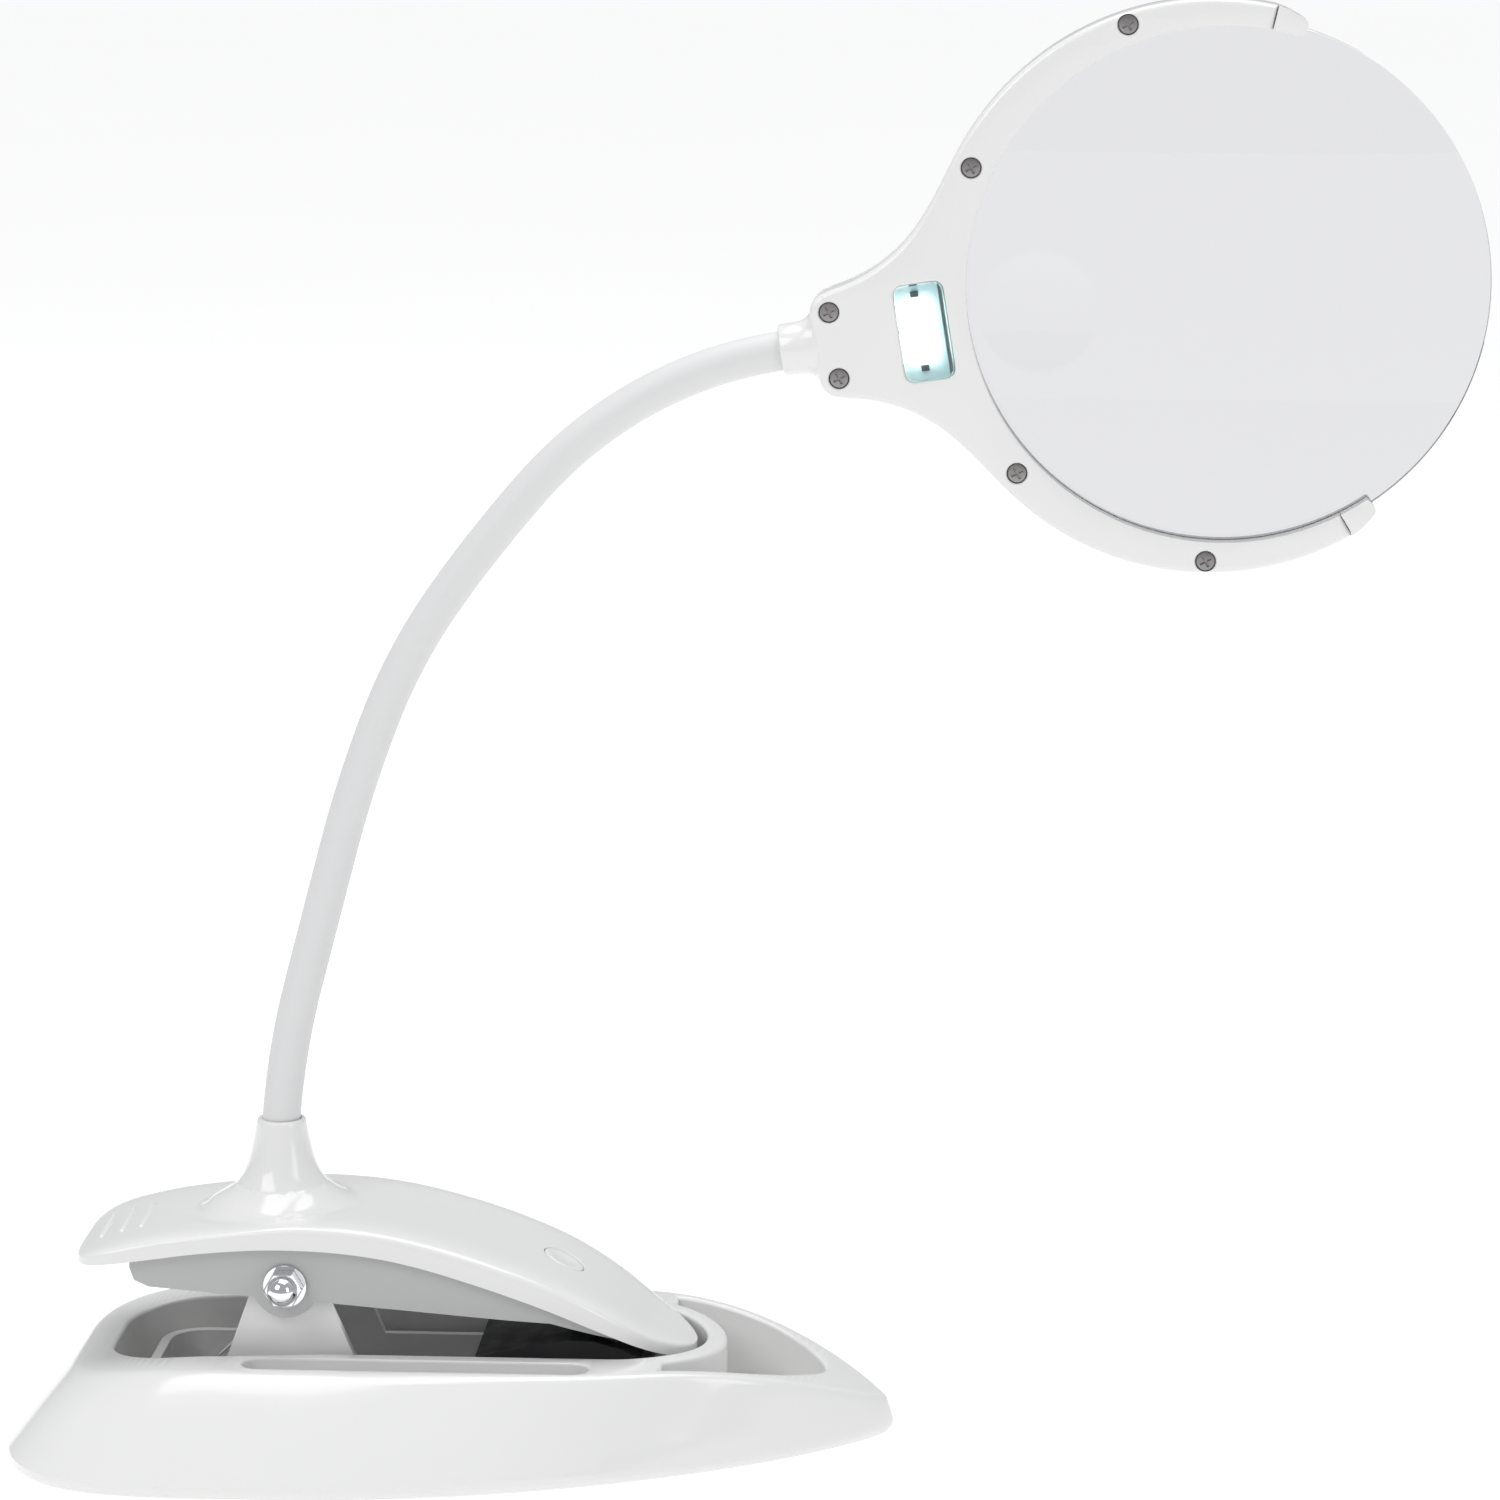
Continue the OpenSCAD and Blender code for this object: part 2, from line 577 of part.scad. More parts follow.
module tact_switch() {
    color([0.2, 0.2, 0.2]) on_button() {
        translate([0, 0, -switch_top - 0.3]) cylinder(d = 2, h = 0.3, $fn = 24);
        translate([-2.4, -2.4, -switch_top - 1]) cube([4.8, 4.8, 0.7]);
    }
}
module circuit_board() {
    color([0.1, 0.35, 0.2]) on_button() translate([-6, -7, -switch_top - 1 - board_t])
        cube([11, 14, board_t]);
}
module jaw_lead() {
    color([0.75, 0.1, 0.1]) sweep_tube([[boss_x, 0, boss_low - 3.5], [boss_x + 1, 0, boss_low - 4.4],
        [boss_x + 4, 0, boss_low - 3.6], [boss_x + 10, 2, boss_low - 1.2], [-16, 6, 45.4],
        [-4, 8, 43], [6, 7, 40], [12, 3, 37.6], [14.6, 1, 36.6]], 1.2, [0, 1, 0]);
}
nut_t = 2.4;
core_tail = boss_top - boss_low + nut_t + 0.6;
module neck_nut() {
    color(steel) difference() {
        translate([boss_x - sin(lean) * core_tail, 0, boss_low - nut_t])
            cylinder(r = 6.2, h = nut_t - 0.05, $fn = 6);
        on_boss() translate([0, 0, -40]) cylinder(d = core_d + 0.04, h = 60);
    }
}

// ---- gooseneck: a chain of arcs of equal length, each ending in a ball ----
bends = [10, 0, 6.5, 14, 6, 19.5, 20];
links = len(bends);
neck_from = [boss_x, 0, boss_top];
function heading(k) = k == 0 ? lean : heading(k - 1) + bends[k - 1];
function dir_of(h) = [sin(h), 0, cos(h)];
function link_step(h, b) = abs(b) < 0.5 ? link_len * dir_of(h)
    : let (r = link_len * 180 / (PI * b)) r * [cos(h) - cos(h + b), 0, sin(h + b) - sin(h)];
function link_start(k) = k == 0 ? neck_from : link_start(k - 1) + link_step(heading(k - 1), bends[k - 1]);
head_heading = heading(links);
neck_to = link_start(links);

// Rod of diameter d along link k, from one length to another
module link_rod(k, d, from, to) {
    h = heading(k);
    b = bends[k];
    if (abs(b) < 0.5) {
        translate(link_start(k)) rotate([0, h, 0]) translate([0, 0, from]) cylinder(d = d, h = to - from);
    } else {
        r = link_len * 180 / (PI * b);
        per_mm = b / link_len;
        translate(link_start(k) + r * [cos(h), 0, -sin(h)]) rotate([0, 180 + h, 0]) rotate([-90, 0, 0])
            rotate([0, 0, from * per_mm]) rotate_extrude(angle = (to - from) * per_mm, $fn = 720)
                translate([r, 0]) circle(d = d, $fn = 48);
    }
}
module at_link_end(k) {
    translate(link_start(k + 1)) rotate([0, heading(k + 1), 0]) children();
}
core_bore = 2.2;
core_start = neck_d / 2 + ball_gap + 0.3;
head_grip = 6;
// Straight tails enter the boss and the head a hair slimmer than the arcs they join
slim = 0.04;
tail_lap = 1;
module tails(k, d, down, up) {
    if (k == 0) on_boss() translate([0, 0, -down]) cylinder(d = d, h = down + tail_lap);
    if (k == links - 1) at_link_end(k) translate([0, 0, -tail_lap]) cylinder(d = d, h = up + tail_lap);
}
module neck_sleeve(k) {
    hole_d = core_d + 0.2;
    color(neck_white) difference() {
        union() {
            link_rod(k, neck_d, 0, link_len);
            if (k < links - 1) at_link_end(k) sphere(d = neck_d - slim);
            tails(k, neck_d - slim, socket_depth - 0.2, head_grip);
        }
        link_rod(k, hole_d, k == 0 ? 0 : -0.5, link_len);
        if (k < links - 1) at_link_end(k) translate([0, 0, -0.5]) cylinder(d = hole_d + slim, h = neck_d);
        tails(k, hole_d + slim, socket_depth + 1, head_grip + 1);
        if (k > 0) translate(link_start(k)) sphere(r = neck_d / 2 + ball_gap);
    }
}
module neck_core(k) {
    start = k == 0 ? 0 : core_start;
    color(steel) difference() {
        union() {
            link_rod(k, core_d, start, link_len);
            tails(k, core_d - slim, core_tail, head_grip + 2);
        }
        link_rod(k, core_bore, start == 0 ? 0 : start - 0.5, link_len + (k == links - 1 ? 0 : 0.5));
        tails(k, core_bore + slim, core_tail + 1, head_grip + 3);
    }
}
lead_d = 1.8;
module neck_lead(k) {
    color([0.75, 0.1, 0.1]) link_rod(k, lead_d, k == 0 ? 0 : core_start, link_len);
}

// ---- head: drawn in its own plane, x along the stem away from the neck, z to the lit side ----
lens_r = lens_d / 2;
stem_len = lens_r + 37;
lens_at = neck_to + stem_len * dir_of(head_heading);
module on_head() {
    translate(lens_at) rotate([90, 0, 0]) rotate([0, 0, 90 - head_heading]) children();
}
rim_in = lens_r - 1.6;
rim_out = lens_r + 4.3;
rim_shift = 2.9;
shoulder_x = -lens_r - 30;
shoulder_y = 10.8;
flank_r = 33;
arm_end = 68.5;
tip_end = 61.5;
half_t = head_t / 2;
function flank(inset) = [for (a = [-90:12:-30]) [shoulder_x + (flank_r + inset) * cos(a),
    shoulder_y + flank_r + (flank_r + inset) * sin(a)]];
arc_from = 150;
function rim_arc(inset, end) = let (steps = ceil((arc_from - end) / 6)) [for (j = [0:steps])
    let (a = arc_from - (arc_from - end) * j / max(1, steps))
    [-rim_shift + (rim_out - inset) * cos(a), (rim_out - inset) * sin(a)]];
function head_half(inset, end) = concat([[shoulder_x + inset, shoulder_y - inset]], flank(inset),
    rim_arc(inset, end), [[-rim_shift, 0]]);
module head_outline(inset, end) {
    edge = head_half(inset, end);
    difference() {
        polygon(concat(edge, [for (p = flip(edge)) if (p[1] > 0.01) [p[0], -p[1]]]));
        circle(rim_in + inset);
    }
}
lens_slot = lens_edge / 2 + 0.25;
screw_at = [[-lens_r - 26, 6.8], [-rim_shift - (rim_out - 4) * cos(35.427), (rim_out - 4) * sin(35.427)],
    [-11.7, lens_r + 1.1]];
module at_head_screws() {
    for (p = screw_at) for (side = [-1, 1]) translate([p[0], side * p[1], 0]) children();
}
window_x = -lens_r - 7.5;
window_r = 2;
module window_outline(gap) {
    hull() for (sx = [-1, 1]) for (sy = [-1, 1])
        translate([window_x + sx * (window_w / 2 - window_r), sy * (window_h / 2 - window_r)])
            circle(window_r - gap, $fn = 24);
}
collar_len = 6.3;
module stem_collar() {
    translate([-stem_len, 0, 0]) rotate([0, 90, 0]) cylinder(r = half_t - 0.1, h = collar_len + 5);
}
module stem_bore() {
    translate([-stem_len - 1, 0, 0]) rotate([0, 90, 0]) cylinder(d = neck_d + 0.1, h = head_grip + 1.1);
    translate([-stem_len, 0, 0]) rotate([0, 90, 0]) cylinder(d = core_d + 0.2, h = 14);
}
// Room for the light board: ends short of the lens
module led_room() {
    difference() {
        head_outline(head_wall + 0.3, 150);
        circle(lens_r + 1.4);
        for (side = [-1, 1]) translate([screw_at[0][0], side * screw_at[0][1]]) circle(2.9, $fn = 24);
    }
}
module head_front() {
    color(white) on_head() difference() {
        union() {
            linear_extrude(half_t) head_outline(0, arm_end);
            intersection() {
                stem_collar();
                translate([-150, -20, 0]) cube([300, 40, 20]);
            }
        }
        translate([0, 0, -1]) cylinder(r = lens_r + 0.2, h = 1 + lens_slot);
        stem_bore();
        translate([0, 0, -1]) linear_extrude(half_t - head_wall + 1) led_room();
        translate([0, 0, -1]) linear_extrude(20) window_outline(0);
        at_head_screws() {
            translate([0, 0, -1]) cylinder(d = 2.2, h = 20, $fn = 32);
            translate([0, 0, half_t - 1.5]) cylinder(d = 4.3, h = 5, $fn = 32);
        }
    }
}
module head_back() {
    color(white) on_head() difference() {
        union() {
            translate([0, 0, -half_t]) linear_extrude(half_t) head_outline(0, tip_end);
            for (side = [0, 1]) mirror([0, side, 0]) translate([0, 0, -1])
                linear_extrude(half_t + 1) arm_tip();
            intersection() {
                stem_collar();
                translate([-150, -20, -20]) cube([300, 40, 20]);
            }
        }
        translate([0, 0, -lens_slot]) cylinder(r = lens_r + 0.2, h = 2 * lens_slot);
        stem_bore();
        translate([0, 0, head_wall - half_t]) linear_extrude(half_t) led_room();
        at_head_screws() translate([0, 0, -half_t + 1.4]) cylinder(d = 1.7, h = 20, $fn = 32);
    }
}
// End cap of an arm, past the seam
seam_gap = 0.12;
module arm_tip() {
    seam_at = arm_end - seam_gap;
    intersection() {
        head_outline(0, tip_end);
        translate([-rim_shift, 0]) polygon([[0, 0], 90 * [cos(tip_end - 5), sin(tip_end - 5)],
            90 * [cos(seam_at), sin(seam_at)]]);
    }
}
lens_steps = 10;
function lens_z(r) = lens_edge / 2 + (lens_t - lens_edge) / 2 * (1 - pow(r / lens_r, 2));
lens_profile = concat([for (j = [0:lens_steps]) let (r = lens_r * j / lens_steps) [r, lens_z(r)]],
    [for (j = [lens_steps:-1:0]) let (r = lens_r * j / lens_steps) [r, -lens_z(r)]]);
spot_x = -lens_r + 15.9;
spot_rise = 1.1;
module lens() {
    color([0.9, 0.93, 0.95, 0.35]) on_head() {
        rotate_extrude($fn = 128) polygon(lens_profile);
        translate([spot_x, 0, -lens_z(abs(spot_x)) - 0.7]) rotate_extrude() polygon(concat(
            [[0, 1.2], [spot_d / 2, 1.2]], [for (j = [6:-1:0]) let (t = j / 6)
                [spot_d / 2 * t, spot_rise * (t * t - 1) + 0.6]]));
    }
}
glass_t = 1.2;
module led_window() {
    color([0.85, 0.95, 0.98, 0.5]) on_head() translate([0, 0, half_t - glass_t - 0.1])
        linear_extrude(glass_t) window_outline(0.1);
}
led_board_z = 0.4;
module led_board() {
    color([0.95, 0.95, 0.95]) on_head()
        translate([window_x - window_w / 2 - 1, -window_h / 2 - 1, led_board_z])
            cube([window_w - 0.3, window_h + 2, 1]);
}
led_x = window_x - 1;
module leds() {
    color([1, 0.98, 0.85]) on_head() for (side = [-1, 1])
        translate([led_x - 1.75, side * 3.6 - 1.4, led_board_z + 1]) cube([3.5, 2.8, 1.6]);
}
module resistors() {
    color([0.08, 0.08, 0.08]) on_head() for (side = [-1, 1])
        translate([led_x - 0.8, side * 7.6 - 0.6, led_board_z + 1]) cube([1.6, 1.2, 0.6]);
}
module head_screws() {
    color([0.25, 0.25, 0.27]) on_head() at_head_screws() difference() {
        union() {
            translate([0, 0, half_t - 1.5]) cylinder(d = 3.9, h = 1.2, $fn = 32);
            translate([0, 0, -half_t + 1.8]) cylinder(d = 1.6, h = head_t - 3, $fn = 32);
        }
        for (a = [0, 90]) rotate([0, 0, a + 20])
            translate([-1.2, -0.25, half_t - 0.9]) cube([2.4, 0.5, 2]);
    }
}
module head_lead() {
    color([0.75, 0.1, 0.1]) on_head() sweep_tube([[-stem_len + head_grip + 2.6, 0, 0],
        [-stem_len + 11, 0, 0.1], [-stem_len + 14, 0.8, -0.6],
        [window_x - 7.4, 1, -0.7], [window_x - 3, 0, -0.4]], 1.2, [0, 0, 1]);
}

base_shell();
base_plate();
base_weight();
base_screws();
sole_pad();
lower_jaw();
lower_pad();
pivot_bolt();
acorn_nut();
pivot_washers();
spring_legs();
upper_jaw();
inner_cover();
upper_pad();
spring_bridge();
cell_door();
door_screw();
coin_cells();
cell_contacts();
circuit_board();
tact_switch();
cover_screws();
neck_nut();
jaw_lead();
power_button();
for (k = [0:links - 1]) {
    neck_sleeve(k);
    neck_core(k);
    neck_lead(k);
}
head_front();
head_back();
lens();
led_window();
led_board();
leds();
resistors();
head_screws();
head_lead();
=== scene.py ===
import math

import bpy
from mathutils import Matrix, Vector


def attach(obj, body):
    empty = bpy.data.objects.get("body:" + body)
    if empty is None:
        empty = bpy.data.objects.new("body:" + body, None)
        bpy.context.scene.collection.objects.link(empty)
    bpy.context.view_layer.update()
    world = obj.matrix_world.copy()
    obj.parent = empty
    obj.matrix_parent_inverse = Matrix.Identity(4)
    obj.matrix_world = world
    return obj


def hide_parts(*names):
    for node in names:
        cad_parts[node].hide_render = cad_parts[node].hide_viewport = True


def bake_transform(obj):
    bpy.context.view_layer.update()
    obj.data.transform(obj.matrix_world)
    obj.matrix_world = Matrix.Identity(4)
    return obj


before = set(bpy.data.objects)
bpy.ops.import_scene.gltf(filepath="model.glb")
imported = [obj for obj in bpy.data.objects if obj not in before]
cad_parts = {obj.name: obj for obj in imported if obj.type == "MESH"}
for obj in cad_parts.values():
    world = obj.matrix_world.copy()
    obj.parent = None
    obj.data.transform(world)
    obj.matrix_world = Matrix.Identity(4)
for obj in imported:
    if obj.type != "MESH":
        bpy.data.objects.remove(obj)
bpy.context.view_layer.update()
MM = 0.001


# ---------------------------------------------------------------- camera, light
def place_camera():
    data = bpy.data.cameras.new("shot")
    data.lens = 127.68
    data.sensor_width = 36.0
    data.clip_end = 60.0
    camera = bpy.data.objects.new("shot", data)
    bpy.context.collection.objects.link(camera)
    azimuth, elevation, distance = math.radians(3.5), math.radians(11), 1.1
    target = Vector((0.0619, 0.0, 0.1468))
    back = Vector((math.sin(azimuth) * math.cos(elevation), -math.cos(azimuth) * math.cos(elevation),
                   math.sin(elevation)))
    camera.location = target + distance * back
    camera.rotation_euler = back.to_track_quat("Z", "Y").to_euler()
    bpy.context.scene.camera = camera


def soft_light(name, at, aim, size, power):
    data = bpy.data.lights.new(name, "AREA")
    data.shape = "RECTANGLE"
    data.size, data.size_y = size
    data.energy = power
    lamp = bpy.data.objects.new(name, data)
    lamp.location = at
    lamp.rotation_euler = (Vector(at) - Vector(aim)).to_track_quat("Z", "Y").to_euler()
    bpy.context.collection.objects.link(lamp)


place_camera()


# ---------------------------------------------------------------- materials
class Nodes:
    def __init__(self, name):
        self.material = bpy.data.materials.new(name)
        self.material.use_nodes = True
        self.tree = self.material.node_tree
        self.tree.nodes.clear()
        self.out = self.tree.nodes.new("ShaderNodeOutputMaterial")
        self.shader = self.tree.nodes.new("ShaderNodeBsdfPrincipled")
        self.tree.links.new(self.shader.outputs["BSDF"], self.out.inputs["Surface"])
        self.coords = self.tree.nodes.new("ShaderNodeTexCoord")

    def set(self, **values):
        for key, value in values.items():
            self.shader.inputs[key.replace("_", " ")].default_value = value

    def noise(self, scale, detail=3.0, stretch=None):
        source = self.coords.outputs["Object"]
        if stretch:
            mapping = self.tree.nodes.new("ShaderNodeMapping")
            mapping.inputs["Scale"].default_value = stretch
            self.tree.links.new(source, mapping.inputs["Vector"])
            source = mapping.outputs["Vector"]
        node = self.tree.nodes.new("ShaderNodeTexNoise")
        node.inputs["Scale"].default_value = scale
        node.inputs["Detail"].default_value = detail
        self.tree.links.new(source, node.inputs["Vector"])
        return node.outputs["Fac"]

    def spread(self, source, low, high):
        node = self.tree.nodes.new("ShaderNodeMapRange")
        node.inputs["From Min"].default_value = 0.3
        node.inputs["From Max"].default_value = 0.7
        node.inputs["To Min"].default_value = low
        node.inputs["To Max"].default_value = high
        self.tree.links.new(source, node.inputs["Value"])
        return node.outputs["Result"]

    def ramp(self, source, low, high):
        node = self.tree.nodes.new("ShaderNodeValToRGB")
        node.color_ramp.elements[0].position = 0.3
        node.color_ramp.elements[0].color = (*low, 1)
        node.color_ramp.elements[1].position = 0.7
        node.color_ramp.elements[1].color = (*high, 1)
        self.tree.links.new(source, node.inputs["Fac"])
        return node.outputs["Color"]

    def link(self, source, socket):
        self.tree.links.new(source, self.shader.inputs[socket])

    def bump(self, source, depth, strength):
        node = self.tree.nodes.new("ShaderNodeBump")
        node.inputs["Strength"].default_value = strength
        node.inputs["Distance"].default_value = depth
        self.tree.links.new(source, node.inputs["Height"])
        self.tree.links.new(node.outputs["Normal"], self.shader.inputs["Normal"])


def tones(colour, step):
    """The colour a step darker and a step lighter."""
    return tuple(max(0.0, c * (1 - step)) for c in colour), tuple(min(1.0, c * (1 + step)) for c in colour)


def moulded(name, colour, rough, texture=0.0, texture_scale=900.0, coat=0.0):
    """Injection-moulded plastic: a hair of tone and gloss variation, and a faint mould texture."""
    n = Nodes(name)
    n.link(n.ramp(n.noise(14, 2), *tones(colour, 0.008)), "Base Color")
    n.link(n.spread(n.noise(60), rough * 0.9, rough * 1.15), "Roughness")
    n.set(IOR=1.5, Coat_Weight=coat, Coat_Roughness=0.05)
    if texture:
        n.bump(n.noise(texture_scale, 4), 0.00004, texture)
    return n.material


def metal(name, colour, rough, stretch=None, streak=0.0):
    n = Nodes(name)
    n.link(n.ramp(n.noise(120, 3, stretch), *tones(colour, 0.04)), "Base Color")
    n.link(n.spread(n.noise(300, 4, stretch), rough * 0.75, rough * 1.3), "Roughness")
    n.set(Metallic=1.0)
    if streak:
        n.bump(n.noise(700, 4, stretch), 0.00002, streak)
    return n.material


def rubber(name, colour):
    n = Nodes(name)
    n.link(n.ramp(n.noise(80, 3), *tones(colour, 0.15)), "Base Color")
    n.link(n.spread(n.noise(200), 0.55, 0.75), "Roughness")
    n.bump(n.noise(1500, 4), 0.00006, 0.3)
    return n.material


def clear(name, colour, rough, ior):
    n = Nodes(name)
    n.link(n.ramp(n.noise(8, 1), *tones(colour, 0.004)), "Base Color")
    n.link(n.spread(n.noise(30), rough * 0.6, rough * 1.4), "Roughness")
    n.set(IOR=ior, Transmission_Weight=1.0)
    return n.material


def glowing(name, colour, strength):
    n = Nodes(name)
    n.link(n.ramp(n.noise(300, 2), *tones(colour, 0.02)), "Base Color")
    n.link(n.ramp(n.noise(300, 2), *tones(colour, 0.02)), "Emission Color")
    n.set(Roughness=0.4, Emission_Strength=strength)
    return n.material


WHITE_ABS = moulded("white_abs", (0.76, 0.76, 0.75), 0.15, coat=0.2)
# Grey plastic of the inner cover and cell door, darker than its own grey as painted shade for the cover's
# underside below the jaw.
COVER_ABS_WITH_PAINTED_SHADE = moulded("cover_abs_with_painted_shade", (0.45, 0.455, 0.45), 0.32, 0.12)
PLATE = moulded("base_plate_plastic", (0.70, 0.70, 0.69), 0.5, 0.2)
SLEEVE = moulded("neck_sleeve_pvc", (0.68, 0.68, 0.68), 0.5, 0.15, 1400.0)
RUBBER = rubber("pad_rubber", (0.022, 0.022, 0.024))
CHROME = metal("nut_chrome", (0.82, 0.82, 0.84), 0.09)
WIRE = metal("spring_wire", (0.72, 0.72, 0.74), 0.16)
ZINC = metal("zinc_plate", (0.56, 0.57, 0.59), 0.38, (1, 8, 1), 0.1)
SCREW = metal("dark_screw_steel", (0.30, 0.285, 0.285), 0.34)
CELL = metal("cell_can", (0.68, 0.68, 0.70), 0.24)
BRASS = metal("contact_brass", (0.80, 0.62, 0.30), 0.25)
CORE = metal("gooseneck_core_steel", (0.55, 0.55, 0.57), 0.35)
BOARD = moulded("circuit_board_green", (0.02, 0.20, 0.08), 0.4, 0.1)
BLACK = moulded("component_black", (0.03, 0.03, 0.032), 0.4, 0.1)
LEAD = moulded("lead_insulation_red", (0.45, 0.03, 0.025), 0.45, 0.1)
# Clear acrylic with a grey tint: painted stand-in for the even grey the lens shows by reflecting its
# surroundings.
LENS = clear("lens_acrylic", (0.81, 0.81, 0.825), 0.012, 1.47)
WINDOW = clear("window_acrylic", (0.70, 0.92, 0.96), 0.02, 1.47)
LED_BOARD = moulded("led_board_white", (0.85, 0.86, 0.86), 0.45, 0.1)
LED = glowing("led_glow", (1.0, 0.985, 0.94), 6.0)


def paint(obj, material):
    obj.data.materials.clear()
    obj.data.materials.append(material)


# ---------------------------------------------------------------- mesh helpers
def lay(name, points, faces):
    """A closed mesh from points in millimetres and its faces, with its doubles merged."""
    mesh = bpy.data.meshes.new(name)
    mesh.from_pydata([Vector(p) * MM for p in points], [], faces)
    mesh.validate()
    obj = bpy.data.objects.new(name, mesh)
    bpy.context.collection.objects.link(obj)
    outward(obj)
    return obj


def pick(obj):
    """The object becomes the only one selected."""
    bpy.ops.object.select_all(action="DESELECT")
    obj.select_set(True)
    bpy.context.view_layer.objects.active = obj


def outward(obj):
    """Doubles merged and normals outward."""
    pick(obj)
    bpy.ops.object.mode_set(mode="EDIT")
    bpy.ops.mesh.select_all(action="SELECT")
    bpy.ops.mesh.remove_doubles(threshold=2e-7)
    bpy.ops.mesh.normals_make_consistent(inside=False)
    bpy.ops.object.mode_set(mode="OBJECT")


def rings(name, loops, caps=None):
    """Skin over loops of equal length, closed at both ends by one face each, or by the faces in caps."""
    m = len(loops[0])
    points = [p for loop in loops for p in loop]
    faces = [(k * m + j, k * m + (j + 1) % m, (k + 1) * m + (j + 1) % m, (k + 1) * m + j)
             for k in range(len(loops) - 1) for j in range(m)]
    ends = caps or [tuple(range(m))]
    top = (len(loops) - 1) * m
    faces += [tuple(reversed(f)) for f in ends] + [tuple(v + top for v in f) for f in ends]
    return lay(name, points, faces)


def mirror_caps(m):
    """End faces for a loop that runs down one side and back up the other."""
    half = m // 2
    faces = [(0, 1, m - 1)]
    faces += [(i, i + 1, m - i - 1, m - i) for i in range(1, half - 1)]
    return faces + [(half - 1, half, half + 1)]


def boolean(obj, tool, how="DIFFERENCE"):
    """The tool is cut from the object, or joined to it, and used up."""
    pick(obj)
    mod = obj.modifiers.new("cut", "BOOLEAN")
    mod.operation = how
    mod.solver = "EXACT"
    mod.object = tool
    bpy.ops.object.modifier_apply(modifier=mod.name)
    bpy.data.objects.remove(tool)


def shade(obj, degrees):
    """Smooth shading, with edges sharper than the angle left crisp."""
    pick(obj)
    bpy.ops.object.shade_smooth_by_angle(angle=math.radians(degrees))


def join(first, *others):
    """One object from several, under the first one's name."""
    bpy.ops.object.select_all(action="DESELECT")
    for o in (first, *others):
        o.select_set(True)
    bpy.context.view_layer.objects.active = first
    bpy.ops.object.join()
    return first


CREASE = 25


def round_edges(obj, wanted, width, segments):
    """Bevels the creased edges whose two ends, in millimetres, pass wanted(a, b)."""
    pick(obj)
    bpy.ops.object.mode_set(mode="EDIT")
    bpy.ops.mesh.select_mode(type="EDGE")
    bpy.ops.mesh.select_all(action="DESELECT")
    bpy.ops.object.mode_set(mode="OBJECT")
    mesh = obj.data
    faces_of = {}
    for poly in mesh.polygons:
        for key in poly.edge_keys:
            faces_of.setdefault(key, []).append(poly.normal)
    for edge in mesh.edges:
        normals = faces_of.get(tuple(sorted(edge.vertices)), [])
        if len(normals) != 2:
            continue
        angle = math.degrees(normals[0].angle(normals[1], 0.0))
        a, b = (mesh.vertices[v].co / MM for v in edge.vertices)
        if angle > CREASE and wanted(a, b):
            edge.select = True
    bpy.ops.object.mode_set(mode="EDIT")
    bpy.ops.mesh.bevel(offset=width * MM, offset_type="OFFSET", segments=segments, profile=0.5,
                       affect="EDGES", clamp_overlap=True)
    bpy.ops.object.mode_set(mode="OBJECT")


def curve_at(table, x):
    """Smooth value between the points of a table that rises in x."""
    if x <= table[0][0]:
        return table[0][1]
    if x >= table[-1][0]:
        return table[-1][1]
    for i in range(len(table) - 1):
        if x <= table[i + 1][0]:
            break
    (x0, y0), (x1, y1) = table[i], table[i + 1]
    before = table[max(0, i - 1)]
    after = table[min(len(table) - 1, i + 2)]
    h = x1 - x0
    s0 = (y1 - before[1]) / (x1 - before[0])
    s1 = (after[1] - y0) / (after[0] - x0)
    t = (x - x0) / h
    return ((2 * t**3 - 3 * t**2 + 1) * y0 + (t**3 - 2 * t**2 + t) * h * s0
            + (-2 * t**3 + 3 * t**2) * y1 + (t**3 - t**2) * h * s1)


def arc(cx, cy, r, a, b, steps):
    """Points round a centre from angle a to angle b, in degrees."""
    return [(cx + r * math.cos(math.radians(a + (b - a) * i / steps)),
             cy + r * math.sin(math.radians(a + (b - a) * i / steps))) for i in range(steps + 1)]


def power(t, p, q):
    """Falls from 1 at t = 0 to 0 at t = 1, squarer with a bigger p."""
    return max(0.0, 1 - min(1.0, t) ** p) ** q


def round_angles(steps):
    """Angles of a full turn in equal steps, in radians."""
    return [2 * math.pi * j / steps for j in range(steps)]


def tilted(x, z, degrees):
    """The point x, z turned clockwise by the angle, as seen from -Y."""
    a = math.radians(degrees)
    return x * math.cos(a) + z * math.sin(a), z * math.cos(a) - x * math.sin(a)


# ---------------------------------------------------------------- base shell
BASE_W, BASE_H, RIM_W, WALL = 108.0, 21.3, 66.0, 2.2
BASE_REAR, BASE_NOSE, BASE_MID = -92.25, 92.25, -33.8
RIM_REAR, RIM_NOSE, RIM_BEND = BASE_REAR + 13, BASE_NOSE - 1.5, 10.0
STATIONS = [-math.cos(math.radians(90 * j / 30)) ** 0.5 for j in range(30)]
STATIONS += [1 - (1 - j / 54) ** 1.7 for j in range(55)]


def along(s, rear, nose):
    """Place at share s of the way from the middle to the rear (s below 0) or to the nose."""
    return BASE_MID + s * (BASE_MID - rear) if s < 0 else BASE_MID + s * (nose - BASE_MID)


def foot_point(s, inset):
    share = power(-s, 4, 0.25) if s < 0 else power(s, 1.85, 0.78)
    return along(s, BASE_REAR + inset, BASE_NOSE - inset), (BASE_W / 2 - inset) * share


